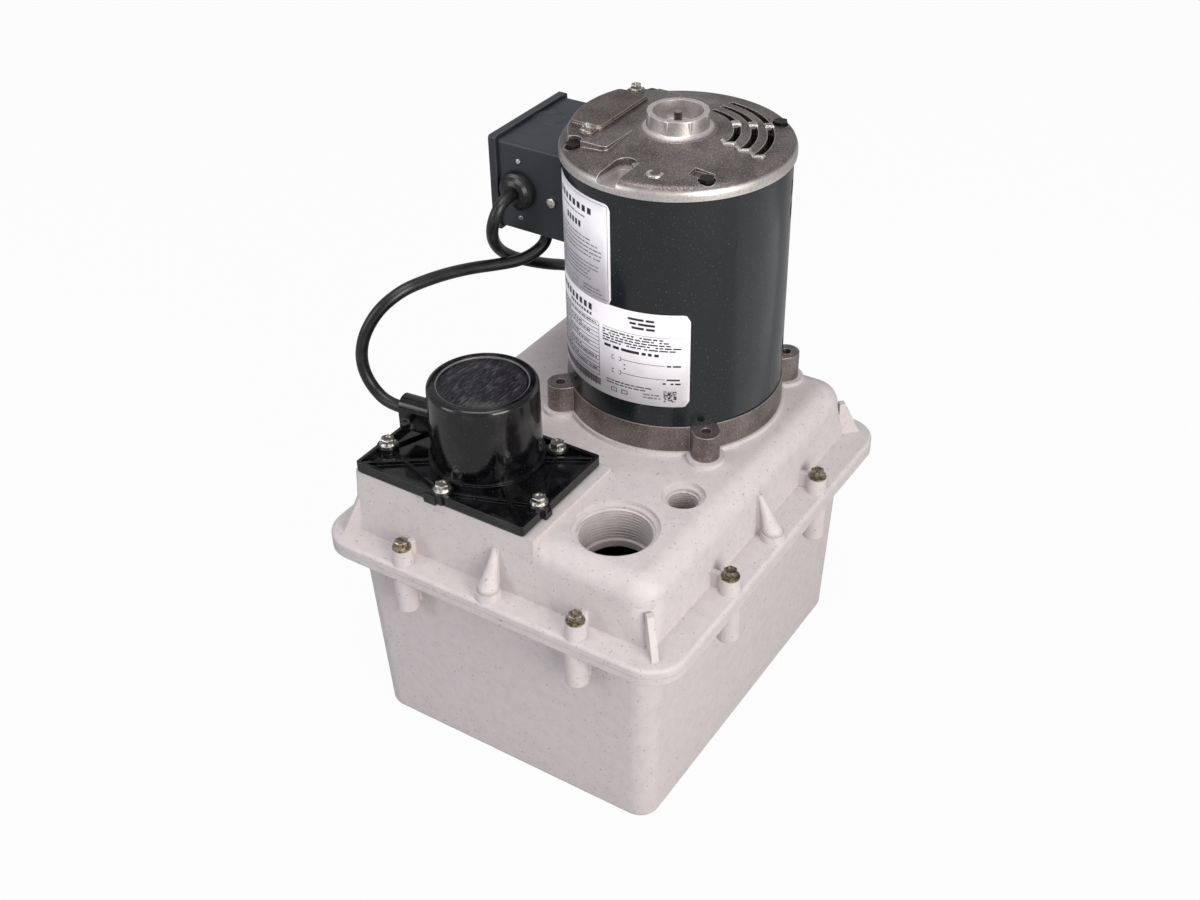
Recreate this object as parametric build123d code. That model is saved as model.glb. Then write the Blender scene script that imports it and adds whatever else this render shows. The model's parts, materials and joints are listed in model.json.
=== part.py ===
from build123d import *
import os
from math import atan, atan2, cos, degrees, hypot, radians, sin, tan

# Condensate pump: a moulded tank and lid, a vertical motor on the lid that
# drives a submerged centrifugal pump, and a float switch in a cap on the lid.
# Millimetres, +Z up, origin on the floor under the middle of the tank.
# The front is -Y (switch and inlet side), the junction box faces -X.

# ---------------------------------------------------------------- tank, lid
tank_height = 149.6          # floor to the split line
tank_floor_x = 216.0
tank_floor_y = 261.0
tank_draft = 4.8             # growth of each side from floor to flange
tank_wall = 4.0
tank_floor = 4.0
tank_corner_r = 14.0
tank_foot_r = 5.0            # rounded bottom edge
rim_x = 264.0                # flange outline
rim_y = 301.0
rim_corner_r = 24.0
tank_rim_t = 6.0
lid_rim_t = 6.0
lid_rim_edge_r = 2.4
rim_screw_dx = 131.0         # spacing of the screws along the long way of X
rim_screw_dy = 120.0
rim_boss_r = 7.0
rim_boss_draft = 0.6
rim_boss_land = 0.6          # rim edge to the foot of a boss
rim_boss_h = 11.0
rim_boss_drop = 25.0         # boss below the tank's flange
rim_rib_t = 4.0
blank_boss_r = 8.5           # low pads at the middle of each side
blank_boss_h = 5.0
blank_fin_h = 30.0
corner_rib_h = 25.0
corner_rib_out = 12.0
corner_rib_t = 4.6
corner_tab_h = 12.0          # small rib under the tank's flange at each corner
gasket_w = 4.0
gasket_depth = 2.4
gasket_clear = 0.15
gasket_land = 3.5            # tank opening to the gasket groove

hood_inset_x = 20.0          # rim edge to the hood wall
hood_inset_y = 18.3
hood_height = 43.6
hood_draft = 2.0
hood_wall = 4.0
hood_corner_r = 7.0
hood_top_corner_r = 18.0
hood_edge_r = 15.0
hood_inner_edge_r = 8.0
hood_blend_h = 26.0          # height where the corner reaches its top radius

# ------------------------------------------------------------------- screws
rim_screw_r = 2.4
rim_screw_af = 8.0
rim_screw_head_h = 4.6
rim_washer_r = 6.0
rim_washer_t = 1.1
rim_screw_len = 22.0
screw_clear = 0.3

# -------------------------------------------------------------------- motor
motor_x = 17.1
motor_y = 54.9
motor_pad_h = 3.0
base_ring_over = 0.9         # base ring beyond the shell
base_ring_h = 18.7
bell_wall = 6.3
lug_out = 6.05               # lug centre beyond the base ring
lug_r = 9.0
lug_pad_gap = 3.4            # the lid's pad shows this much round each lug
lug_bore_r = 3.3
shell_r = 71.4
shell_t = 1.8
shell_len = 158.1
spigot_h = 5.0
spigot_fit = 0.05
top_bell_over = 1.9
top_rim_h = 8.2
top_rim_edge_r = 6.0
dome_rise = 5.8
dome_t = 4.0
hub_base_r = 23.7
hub_r = 19.0
hub_wall = 3.4
hub_rise = 11.0
hub_panels = 8
hub_panel_turn = 30.0        # direction of the first flat panel
hub_post_r = 1.7             # round posts between the panels
hub_post_out = 0.7
stud_pocket = (34.0, 47.0, 38.0, 46.5)   # cast pocket beside the front stud, from the axis
stud_pocket_rise = 0.4       # its floor above the rim
groove_angle = -95.0         # direction of the motor leads' groove
groove_w = 14.0
groove_end_r = 47.0          # its round end to the axis
groove_depth = 4.6           # below the bell's rim
groove_floor_t = 2.5
groove_fin_len = 17.0
vent_radii = (36.0, 46.5, 56.5)
vent_w = 4.2
vent_spans = ((-5.0, 38.0), (44.0, 84.0))
stud_inset = 6.1
stud_r = 2.4
stud_head_af = 8.0
stud_head_h = 4.0
shell_slot = (10.0, 7.0)     # height and width of one cooling slot
shell_slot_gap = 15.5
shell_slot_angles = (20, 31, 42, 53, 64)

shaft_r = 7.5
shaft_fit = 0.05
shaft_tip_r = 2.5
pump_shaft_r = 6.35
bearing_r = 17.5
bearing_t = 11.0
rotor_r = 40.0
rotor_h = 66.0
air_gap = 0.6
fan_r = 52.0
fan_blades = 9
fan_blade_t = 1.6
winding_h = 24.0

terminal_edge_x = 37.4       # straight edge of the terminal cover to the axis
terminal_half_y = 29.0
terminal_cover_t = 2.8
terminal_cover_edge = 1.2    # bevel round the cover
terminal_step_x = 15.0       # cast platform beyond the cover
terminal_sink = 0.4          # platform below the dome's crown
terminal_step_y = 17.0
terminal_screws = ((-44.0, -33.5), (-51.0, 34.5))
terminal_ear_r = 5.0
terminal_ear_t = 1.4
terminal_thread_r = 1.6

# --------------------------------------------------------------------- pump
column_r = 21.0
column_wall = 3.2
column_flange_r = 34.0
column_flange_t = 8.0
column_bolt_r = 29.2
column_foot_r = 41.0
column_foot_t = 6.0
column_window_w = 13.0
column_window_h = 62.0
scroll_r = 36.0              # scroll cavity at its tongue
scroll_gain = 15.0           # growth in one turn
scroll_wall = 4.0
scroll_h = 30.0
scroll_z = 22.0
impeller_r = 31.0
impeller_hub_r = 10.0
impeller_disc_t = 3.0
impeller_vane_h = 9.0
impeller_vane_t = 2.2
impeller_vanes = 6
impeller_gap = 2.0
eye_r = 15.0
nozzle_r = 12.0
nozzle_wall = 3.1
strainer_r = 30.0
strainer_bars = 18
strainer_bar_w = 4.0
pipe_r = 13.35               # 3/4 in pipe
pipe_wall = 2.8

# -------------------------------------------------------------- lid openings
inlet_x = 60.7
inlet_y = -89.7
inlet_r = 24.13              # 1-1/2 in NPT
inlet_mouth_r = 27.3
inlet_depth = 24.0
inlet_throat_r = 20.8
vent_x = 79.7
vent_y = -40.9
vent_r = 10.67               # 1/2 in NPT
vent_mouth_r = 13.9
vent_depth = 17.0
vent_throat_r = 9.2
port_mouth_depth = 3.0
port_wall = 5.0
outlet_x = -68.0
outlet_y = 110.3
outlet_r = 13.34             # 3/4 in NPT
outlet_mouth_r = 15.0
outlet_hub_r = 17.5
outlet_hub_h = 5.0
outlet_depth = 18.0
outlet_throat_r = 10.5
outlet_stop_t = 2.0           # lip that the pipe stops against

# ------------------------------------------------------------- float switch
seat_right = 28.0            # +X edge of the raised switch seat
seat_back = -43.0
seat_rise = 2.8
plate_x = 128.6
plate_y = 86.0
plate_cx = -43.0
plate_cy = -88.0
plate_t = 3.0
plate_rim_h = 3.6
plate_rim_w = 2.4
plate_rib_t = 2.0
plate_gasket_t = 1.5
plate_corner_r = 2.0
plate_boss_r = 7.0
tab_w = 9.0                  # split tab on the front edge
tab_out = 2.4
tab_t = 1.4
tab_split = 1.2
tab_drop = 1.0               # tabs reach below the plate's face
clip_half = 2.6
clip_shift = 1.0
plate_screws = ((-58.8, -17.2), (0.5, -37.5), (58.8, -17.2), (36.6, 35.8), (-36.6, 35.8))
plate_screw_r = 2.4
plate_screw_af = 8.0
plate_screw_head_h = 4.0
plate_washer_r = 5.6
plate_washer_t = 1.0
plate_screw_len = 10.0
cap_x = -40.1
cap_y = -81.3
cap_foot_r = 37.4
cap_foot_h = 6.0
cap_r = 35.0
cap_wall = 2.5
cap_rise = 53.1              # foot ring's top to the cap's top
cap_edge_r = 3.0
cap_dish_r = 29.6
cap_dish_depth = 1.4
cap_nose_angle = 186.0       # cable entry direction
cap_nose_out = 60.0
cap_nose_rise = 22.0         # middle of the cable entry above the cap's foot
cap_nose_w = 15.0
cap_nose_h = 21.0
cap_nose_top_r = 7.0
seat_hole_r = 31.0

float_travel = 20.0
float_r = 28.0
float_z = 52.0
float_rod_r = 3.0
float_fit = 0.08
guide_r = 6.5
guide_len = 26.0
stop_r = 5.5
stop_t = 3.0
lever_arm = 24.0
lever_t = 2.5
lever_w = 13.0
lever_rise = 26.5            # lever's pin above the plate
lever_hub_r = 4.0
lever_pin_r = 2.0
lever_fit = 0.08
move_gap = 0.4

# ------------------------------------------------------------- junction box
box_y = 77.8
box_h = 60.5
box_top_drop = 3.5           # shell's top to the box's top
box_reach = 41.1             # box beyond the shell
box_sheet = 1.5
box_shell_gap = 0.4
cover_t = 1.6
cover_lip = 5.4
cover_fit = 0.4
cover_sheet = 1.8
gland_in = 18.8              # box's outer end to the gland
gland_rise = 29.0
gland_flange_r = 13.0
gland_r = 10.5
gland_out = 8.0
gland_thread_r = 9.5
box_screw_r = 3.4
box_screw_out = 8.7          # clear of the shell
box_screw_drop = 3.75
rivet_r = 1.7
rivet_in = 19.7
rivet_top = 11.5
rivet_low = 9.7
bushing_in = 27.4
bushing_y = 33.0
bushing_r = 7.5
bushing_len = 4.0

# -------------------------------------------------------------------- cords
cord_d = 8.0
plug_len = 34.0
plug_relief = 22.0
plug_w = 26.0
plug_t = 20.0
coil_r = 44.0                # mean radius of the wound length
coil_half_w = 8.5
coil_h = 24.0
coil_x = -38.0
coil_y = 232.0

# ------------------------------------------------------------ worked out
rim_top = tank_height + lid_rim_t
deck_z = rim_top + hood_height
pad_z = deck_z + motor_pad_h
ring_z = pad_z + base_ring_h
shell_z = ring_z + shell_len
bell_z = shell_z + top_rim_h
dome_z = bell_z + dome_rise
hub_z = dome_z + hub_rise
platform_z = dome_z - terminal_sink
seat_z = deck_z + seat_rise
plate_z = seat_z + plate_gasket_t
cap_foot_z = plate_z + plate_t
cap_top = cap_foot_z + cap_foot_h + cap_rise
hood_half_x = rim_x / 2 - hood_inset_x
hood_half_y = rim_y / 2 - hood_inset_y
screw_x = rim_x / 2 - rim_boss_r - rim_boss_land
screw_y = rim_y / 2 - rim_boss_r - rim_boss_land
cap_nose_z = cap_foot_z + cap_nose_rise
lever_z = cap_foot_z + lever_rise
base_ring_r = shell_r + base_ring_over
lug_circle_r = base_ring_r + lug_out
top_bell_r = shell_r + top_bell_over
stud_circle_r = shell_r - stud_inset
box_z1 = shell_z - box_top_drop
box_z0 = box_z1 - box_h
box_outer_x = motor_x - shell_r - box_reach
gland_x = box_outer_x + gland_in
gland_z = box_z0 + gland_rise
bushing_x = box_outer_x + bushing_in
axis = Location((motor_x, motor_y, 0))
lug_angles = (45, 135, 225, 315)
eps = 0.01


def at(x, y, z=0.0):
    return Location((x, y, z))


def polar(radius, angle):
    return radius * cos(radians(angle)), radius * sin(radians(angle))


def drum(radius, z0, z1):
    """Cylinder on the Z axis between two heights."""
    return at(0, 0, z0) * Cylinder(radius, z1 - z0, align=(Align.CENTER, Align.CENTER, Align.MIN))


def tube(outer, inner, z0, z1):
    return drum(outer, z0, z1) - drum(inner, z0 - 1, z1 + 1)


def block(x0, x1, y0, y1, z0, z1):
    size = (x1 - x0, y1 - y0, z1 - z0)
    return at((x0 + x1) / 2, (y0 + y1) / 2, (z0 + z1) / 2) * Box(*size)


def turned(points):
    """Solid of revolution about Z from (radius, height) points."""
    return revolve(Plane.XZ * make_face(Polyline(*points, close=True)), Axis.Z)


def outline(half_x, half_y, radius, z):
    return at(0, 0, z) * RectangleRounded(2 * half_x, 2 * half_y, radius)


def tapered(half_x, half_y, radius, z0, grow, top_radius, z1):
    """Rounded block whose sides move out by grow between two heights."""
    low = outline(half_x, half_y, radius, z0)
    high = outline(half_x + grow, half_y + grow, top_radius, z1)
    return loft([low.face(), high.face()], ruled=True)


def hex_head(flats, height, z0):
    return at(0, 0, z0) * extrude(RegularPolygon(flats / 2, 6, major_radius=False), height)


def hex_washer_screw(radius, flats, head_h, washer_r, washer_t, length):
    """Screw with its washer face on z = 0 and the shank below."""
    washer = drum(washer_r, 0, washer_t)
    head = hex_head(flats, head_h, washer_t)
    head = chamfer(head.edges().group_by(Axis.Z)[-1], 0.5)
    dimple = drum(flats * 0.3, washer_t + head_h - 0.7, washer_t + head_h + 1)
    return washer + head - dimple + drum(radius, -length, 0)


def save(name, shape):
    os.makedirs("parts", exist_ok=True)
    export_step(shape, "parts/" + name + ".step")


def group(shapes):
    return Compound(children=[part for shape in shapes for part in shape.solids()])


rim_screws = []
for side in (-1, 1):
    for end in (-1, 1):
        rim_screws.append((end * rim_screw_dx / 2, side * screw_y))
        rim_screws.append((side * screw_x, end * rim_screw_dy / 2))
blank_x = rim_x / 2 - blank_boss_r - rim_boss_land
blank_y = rim_y / 2 - blank_boss_r - rim_boss_land
blank_pads = [(0, -blank_y), (0, blank_y), (-blank_x, 0), (blank_x, 0)]


def inward(x, y):
    """Unit step from a rim boss towards the hood wall it stands beside."""
    if abs(y) > hood_half_y:
        return 0, -1 if y > 0 else 1
    return -1 if x > 0 else 1, 0


def wall_rib(x, y, reach, thickness, z0, z1):
    """Upright rib from a rim boss to a wall that is reach further in."""
    step_x, step_y = inward(x, y)
    x0, x1 = sorted((x, x + step_x * reach))
    y0, y1 = sorted((y, y + step_y * reach))
    half = thickness / 2
    return block(x0 - half * abs(step_y), x1 + half * abs(step_y),
                 y0 - half * abs(step_x), y1 + half * abs(step_x), z0, z1)


# ===================================================================== tank
def make_tank():
    rim_z = tank_height - tank_rim_t
    half_x = tank_floor_x / 2
    half_y = tank_floor_y / 2
    body = tapered(half_x, half_y, tank_corner_r, 0, tank_draft, tank_corner_r, rim_z)
    body = fillet(body.edges().group_by(Axis.Z)[0], tank_foot_r)
    rim = extrude(outline(rim_x / 2, rim_y / 2, rim_corner_r, rim_z), tank_rim_t)
    body += chamfer(rim.edges().group_by(Axis.Z)[0], 1.0)
    reach = tank_rim_t + rim_boss_drop
    for x, y in rim_screws:
        post = at(x, y) * drum(rim_boss_r + rim_boss_draft, tank_height - reach, rim_z + 1)
        web = wall_rib(x, y, screw_x - half_x - tank_draft, rim_boss_r * 1.3,
                       tank_height - reach, rim_z + 1)
        body += post + web
    for turn in (1, -1):
        for flip in (1, -1):
            body += corner_tab(turn, flip, rim_z)
    opening = tapered(half_x - tank_wall, half_y - tank_wall, tank_corner_r - tank_wall,
                      tank_floor, tank_draft, tank_corner_r - tank_wall, tank_height + eps)
    body -= opening
    body -= gasket_ring(0, tank_height - gasket_depth, tank_height + 1)
    for x, y in rim_screws:
        body -= at(x, y) * drum(rim_screw_r, tank_height - rim_boss_drop + 6, tank_height + 1)
    return body


def corner_tab(side_x, side_y, rim_z):
    """Small pointed rib under the flange at one corner of the tank."""
    corner = tank_corner_r * (1 - cos(radians(45)))
    x = side_x * (tank_floor_x / 2 + tank_draft - corner)
    y = side_y * (tank_floor_y / 2 + tank_draft - corner)
    angle = 45 * side_y if side_x > 0 else 180 - 45 * side_y
    reach = corner_rib_out
    profile = Polyline((-3, 0), (reach, 0), (0, -corner_tab_h), (-3, -corner_tab_h), close=True)
    blade = extrude(Plane.XZ * make_face(profile), corner_rib_t / 2, both=True)
    return at(x, y, rim_z + eps) * (Rotation(0, 0, angle) * blade)


def gasket_ring(gap, z0, z1):
    """Rectangular ring that follows the tank's opening."""
    inner_x = tank_floor_x / 2 + tank_draft - tank_wall + gasket_land
    inner_y = tank_floor_y / 2 + tank_draft - tank_wall + gasket_land
    corner = tank_corner_r - tank_wall + gasket_land
    outer = outline(inner_x + gasket_w - gap, inner_y + gasket_w - gap, corner + gasket_w - gap, z0)
    inner = outline(inner_x + gap, inner_y + gap, corner + gap, z0)
    return extrude(outer - inner, z1 - z0)


# ====================================================================== lid
def hood(inset, z0, z1, edge_r):
    """Raised deck of the lid, or its hollow when inset is the wall."""
    half_x = hood_half_x - inset
    half_y = hood_half_y - inset
    blend = rim_top + hood_blend_h
    share = hood_blend_h / hood_height
    low = tapered(half_x, half_y, hood_corner_r - inset * 0.6, z0,
                  -hood_draft * share, hood_top_corner_r - inset, blend)
    high = tapered(half_x - hood_draft * share, half_y - hood_draft * share, hood_top_corner_r - inset,
                   blend, -hood_draft * (1 - share), hood_top_corner_r - inset, z1)
    high = fillet(high.edges().group_by(Axis.Z)[-1], edge_r)
    return low + high


def switch_seat():
    """Square-edged seat of the float switch, flush with two hood walls."""
    tall = seat_z - rim_top
    grow = -hood_draft * tall / hood_height
    slab = tapered(hood_half_x, hood_half_y, 2.5, rim_top - 1, grow, 2.5, seat_z)
    return slab & block(-rim_x, seat_right, -rim_y, seat_back, 0, seat_z + 1)


def motor_pad():
    pad = drum(base_ring_r + 1.6, deck_z - 20, pad_z)
    for angle in lug_angles:
        x, y = polar(lug_circle_r, angle)
        pad += at(x, y) * drum(lug_r + lug_pad_gap, deck_z - 12, pad_z)
    return axis * pad


def corner_rib(side_x, side_y):
    """Sloping fin on the hood's upright corner."""
    corner = hood_corner_r * (1 - cos(radians(45)))
    x = side_x * (hood_half_x - corner)
    y = side_y * (hood_half_y - corner)
    angle = 45 * side_y if side_x > 0 else 180 - 45 * side_y
    profile = Polyline((-4, 0), (corner_rib_out, 0), (0, corner_rib_h), (-4, corner_rib_h), close=True)
    blade = extrude(Plane.XZ * make_face(profile), corner_rib_t / 2, both=True)
    return at(x, y, rim_top - eps) * (Rotation(0, 0, angle) * blade)


def blank_fin(x, y):
    """Half-cone fin that runs from the hood wall down to a low pad."""
    step_x, step_y = inward(x, y)
    angle = 180 * (step_x > 0) + 90 * (step_y < 0) - 90 * (step_y > 0)
    wall = wall_reach(x, y)
    profile = Polyline((-wall - 3, 0), (0, 0), (0, blank_boss_h), (-wall, blank_fin_h),
                       (-wall - 3, blank_fin_h), close=True)
    blade = extrude(Plane.XZ * make_face(profile), rim_rib_t / 2, both=True)
    return at(x, y, rim_top - eps) * (Rotation(0, 0, angle) * blade)


def rim_boss(x, y, radius, height):
    foot = at(x, y, rim_top - 1) * Circle(radius)
    top = at(x, y, rim_top + height) * Circle(radius - rim_boss_draft)
    return loft([foot.face(), top.face()], ruled=True)


def port_hole(x, y, mouth_r, radius, depth, throat_r, top):
    """Mouth, threaded bore and throat of one pipe port."""
    hole = drum(mouth_r, top - port_mouth_depth, top + 1)
    hole += drum(radius, top - port_mouth_depth - depth, top)
    hole += drum(throat_r, tank_height, top - port_mouth_depth - depth + eps)
    return at(x, y) * hole


def pipe_top():
    """Upper end of the discharge pipe, at the lip under the outlet's thread."""
    return deck_z + outlet_hub_h - port_mouth_depth - outlet_depth - outlet_stop_t


def make_lid():
    rim = extrude(outline(rim_x / 2, rim_y / 2, rim_corner_r, tank_height), lid_rim_t)
    rim = fillet(rim.edges().group_by(Axis.Z)[-1], lid_rim_edge_r)
    hood_shape = hood(0, rim_top - 1, deck_z, hood_edge_r)
    body = rim + hood_shape + switch_seat() + motor_pad()
    for x, y in rim_screws:
        body += rim_boss(x, y, rim_boss_r, rim_boss_h)
        body += wall_rib(x, y, wall_reach(x, y) + 2, rim_rib_t, rim_top - 1, rim_top + rim_boss_h)
    for x, y in blank_pads:
        body += rim_boss(x, y, blank_boss_r, blank_boss_h) + blank_fin(x, y)
    for side_x in (-1, 1):
        for side_y in (-1, 1):
            body += corner_rib(side_x, side_y)
    hollow = hood(hood_wall, tank_height - 1, deck_z - hood_wall, hood_inner_edge_r)
    ports = ((inlet_x, inlet_y, inlet_r, inlet_depth), (vent_x, vent_y, vent_r, vent_depth),
             (outlet_x, outlet_y, outlet_r, outlet_depth))
    for x, y, radius, depth in ports:
        low = deck_z - depth - port_mouth_depth - port_wall
        hollow -= at(x, y) * drum(radius + port_wall, low, deck_z)
    body -= hollow
    body += at(outlet_x, outlet_y) * drum(outlet_hub_r, deck_z - hood_wall, deck_z + outlet_hub_h)
    body -= port_hole(inlet_x, inlet_y, inlet_mouth_r, inlet_r, inlet_depth, inlet_throat_r, deck_z)
    body -= port_hole(vent_x, vent_y, vent_mouth_r, vent_r, vent_depth, vent_throat_r, deck_z)
    body -= port_hole(outlet_x, outlet_y, outlet_mouth_r, outlet_r, outlet_depth,
                      outlet_throat_r, deck_z + outlet_hub_h)
    body -= at(outlet_x, outlet_y) * drum(pipe_r, tank_height, pipe_top())
    body -= axis * drum(column_flange_r + 1.0, deck_z - hood_wall - 1, pad_z + 1)
    for angle in lug_angles:
        x, y = polar(lug_circle_r, angle)
        body -= axis * at(x, y) * drum(lug_bore_r + screw_clear, deck_z - hood_wall - 1, pad_z + 1)
    body -= at(cap_x, cap_y) * drum(seat_hole_r, deck_z - hood_wall - 1, seat_z + 1)
    for x, y in plate_screws:
        body -= at(plate_cx + x, plate_cy + y) * drum(plate_screw_r, seat_z - plate_screw_len, seat_z + 1)
    for x, y in rim_screws:
        body -= at(x, y) * drum(rim_screw_r + screw_clear, tank_height - 1, rim_top + rim_boss_h + 1)
    return body


def wall_reach(x, y):
    """Distance from a boss or pad to the hood wall."""
    if abs(y) > hood_half_y:
        return abs(y) - hood_half_y
    return abs(x) - hood_half_x


def make_lid_screws():
    screw = hex_washer_screw(rim_screw_r, rim_screw_af, rim_screw_head_h, rim_washer_r,
                             rim_washer_t, rim_screw_len)
    return group([at(x, y, rim_top + rim_boss_h) * screw for x, y in rim_screws])


# ==================================================================== motor
def ring_on_lugs(shape, radius, z0, z1):
    for angle in lug_angles:
        x, y = polar(lug_circle_r, angle)
        lug = at(x, y) * drum(radius, z0, z1)
        arm = Rotation(0, 0, angle) * block(stud_circle_r - lug_r, lug_circle_r, -radius, radius, z0, z1)
        shape += lug + arm
    return shape


def make_base_bell():
    floor_t = 6.0
    wall_in = base_ring_r - bell_wall
    bell = turned([(shaft_r + 0.6, pad_z), (base_ring_r, pad_z), (base_ring_r, ring_z),
                   (shell_r - shell_t - spigot_fit, ring_z),
                   (shell_r - shell_t - spigot_fit, ring_z + spigot_h),
                   (wall_in, ring_z + spigot_h), (wall_in, pad_z + floor_t),
                   (bearing_r + 5, pad_z + floor_t), (bearing_r + 5, pad_z + floor_t + bearing_t),
                   (bearing_r, pad_z + floor_t + bearing_t), (bearing_r, pad_z + floor_t),
                   (shaft_r + 0.6, pad_z + floor_t)])
    bell = ring_on_lugs(bell, lug_r, pad_z, ring_z)
    for k in range(6):
        rib = block(bearing_r + 4, wall_in + 1, -1.8, 1.8, pad_z + floor_t - 1, pad_z + floor_t + 8)
        bell += Rotation(0, 0, 60 * k) * rib
    for angle in lug_angles:
        x, y = polar(lug_circle_r, angle)
        bell -= at(x, y) * drum(lug_bore_r, pad_z - 1, ring_z + 1)
        x, y = polar(stud_circle_r, angle)
        bell -= at(x, y) * drum(stud_r, pad_z + floor_t, ring_z + spigot_h + 1)
        x, y = polar(column_bolt_r, angle)
        bell -= at(x, y) * drum(2.0, pad_z - 1, pad_z + floor_t - 1)
    return axis * bell


def make_top_bell():
    inner = shell_r - shell_t - spigot_fit
    under = bell_z - dome_t
    bearing_z = dome_z - dome_t - bearing_t
    lip = top_rim_edge_r
    profile = [(shaft_r + 0.6, dome_z - dome_t), (bearing_r, dome_z - dome_t), (bearing_r, bearing_z),
               (bearing_r + 4, bearing_z), (bearing_r + 5, dome_z - dome_t - 1.0),
               (inner - 5, under), (inner - 3, shell_z - spigot_h), (inner, shell_z - spigot_h),
               (inner, shell_z), (top_bell_r, shell_z), (top_bell_r, bell_z),
               (hub_base_r, dome_z), (hub_r + 0.6, dome_z + 2.2), (hub_r, hub_z),
               (hub_r - hub_wall, hub_z), (hub_r - hub_wall, dome_z - 1.0), (shaft_r + 0.6, dome_z - 1.0)]
    bell = turned(profile)
    rim_edge = [edge for edge in bell.edges() if abs(edge.center().Z - bell_z) < eps
                and edge.length > 6.2 * top_bell_r]
    bell = fillet(rim_edge, lip)
    bell += terminal_platform()
    for k in range(hub_panels):
        x, y = polar(hub_r - hub_post_r + hub_post_out, hub_panel_turn + 360 / hub_panels * (k + 0.5))
        bell += at(x, y) * drum(hub_post_r, dome_z - 1, hub_z - 0.4)
    for start, end in vent_spans:
        for radius in vent_radii:
            bell -= arc_slot(radius, start, end, under - 6, hub_z)
    bell += groove_area(groove_floor_t) & drum(inner - 1, shell_z, bell_z)
    bell -= at(0, 0, bell_z - groove_depth) * extrude(groove_outline(0), groove_depth + dome_rise)
    bell += groove_fin()
    for angle in lug_angles:
        x, y = polar(stud_circle_r, angle)
        bell -= at(x, y) * drum(stud_r + screw_clear, shell_z - 8, hub_z)
        bell -= at(x, y) * drum(stud_head_af * 0.66, bell_z - 1.2, hub_z)
    x0, x1, y0, y1 = stud_pocket
    bell -= block(x0, x1, -y1, -y0, bell_z + stud_pocket_rise, hub_z)
    for x, y in terminal_screws:
        bell -= at(x, y) * drum(terminal_thread_r, bell_z, hub_z)
    return axis * bell


def arc_slot(radius, start, end, z0, z1):
    """Curved slot between two angles with square ends."""
    width = vent_w / 2
    wedge = []
    steps = 5
    for k in range(steps):
        wedge.append(polar(radius * 1.4, start + (end - start) * k / (steps - 1)))
    sector = make_face(Polyline((0, 0), *wedge, close=True))
    ring = Circle(radius + width) - Circle(radius - width)
    return at(0, 0, z0) * extrude(ring & sector, z1 - z0)


def terminal_outline(grow_x, grow_y, reach):
    edge = terminal_edge_x - grow_x
    half = terminal_half_y + grow_y
    area = Circle(reach) & (at(-edge - reach / 2, 0) * Rectangle(reach, 2 * half))
    return area


def terminal_platform():
    area = terminal_outline(terminal_step_x, terminal_step_y, top_bell_r - top_rim_edge_r)
    area = fillet(area.vertices(), 4.0)
    return at(0, 0, bell_z - dome_t) * extrude(area, dome_t + platform_z - bell_z)


def groove_outline(grow):
    """Round-ended slot from the groove's inner end out past the rim."""
    half = groove_w / 2 + grow
    start = groove_end_r + groove_w / 2
    area = Pos(start, 0) * Circle(half) + Pos(start + top_bell_r / 2, 0) * Rectangle(top_bell_r, 2 * half)
    return Rotation(0, 0, groove_angle) * area


def groove_area(grow):
    """Thick patch under the dome that the groove's floor is left in."""
    low = bell_z - groove_depth - groove_floor_t
    return at(0, 0, low) * extrude(groove_outline(grow), groove_floor_t + groove_depth - 1.0)


def groove_fin():
    """Thin cast fin that runs inward from the groove's end."""
    side = groove_w / 2 - 1.0
    rise = dome_rise * 0.55
    profile = Polyline((0, 0), (groove_fin_len, 0), (groove_fin_len, rise), close=True)
    blade = extrude(Plane.XZ * make_face(profile), 0.9, both=True)
    place = at(groove_end_r - groove_fin_len + groove_w / 2, side, bell_z + 0.6)
    return Rotation(0, 0, groove_angle) * (place * blade)


def make_terminal_cover():
    area = terminal_outline(0, 0, top_bell_r - top_rim_edge_r - 1.0)
    plate = at(0, 0, platform_z) * extrude(fillet(area.vertices(), 4.0), terminal_cover_t)
    plate = chamfer(plate.edges().group_by(Axis.Z)[-1], terminal_cover_edge)
    for x, y in terminal_screws:
        ear = at(x, y) * drum(terminal_ear_r, platform_z, platform_z + terminal_ear_t)
        neck = block(x - terminal_ear_r, x + terminal_ear_r, min(0, y), max(0, y),
                     platform_z, platform_z + terminal_ear_t)
        plate += ear + neck
        plate -= at(x, y) * drum(terminal_thread_r + screw_clear, platform_z - 1, platform_z + 5)
    return axis * plate


def make_terminal_screws():
    screw = hex_washer_screw(terminal_thread_r, 6.0, 3.0, 4.2, 0.8, 5.0)
    return group([axis * at(x, y, platform_z + terminal_ear_t) * screw for x, y in terminal_screws])


def make_through_bolts():
    bolts = []
    for angle in lug_angles:
        x, y = polar(stud_circle_r, angle)
        head = hex_head(stud_head_af, stud_head_h, bell_z - 1.2)
        bolts.append(axis * at(x, y) * (head + drum(stud_r, ring_z - 6, bell_z - 1.2)))
    return group(bolts)


def make_motor_shell():
    shell = tube(shell_r, shell_r - shell_t, ring_z, shell_z)
    height, width = shell_slot
    for angle in shell_slot_angles:
        for z in (shell_z - 24, shell_z - 24 - shell_slot_gap, ring_z + 22):
            slot = block(shell_r - 6, shell_r + 2, -width / 2, width / 2, z, z + height)
            shell -= Rotation(0, 0, angle) * slot
    return axis * shell


def stator_z():
    middle = ring_z + spigot_h + (shell_len - 2 * spigot_h) * 0.46
    return middle - rotor_h / 2, middle + rotor_h / 2


def make_stator():
    low, high = stator_z()
    core = tube(shell_r - shell_t, rotor_r + air_gap, low, high)
    for angle in lug_angles:
        x, y = polar(stud_circle_r, angle)
        core -= at(x, y) * drum(stud_r + 1.6, low - 1, high + 1)
        core -= Rotation(0, 0, angle) * block(stud_circle_r, shell_r, -4.0, 4.0, low - 1, high + 1)
    return axis * core


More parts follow.
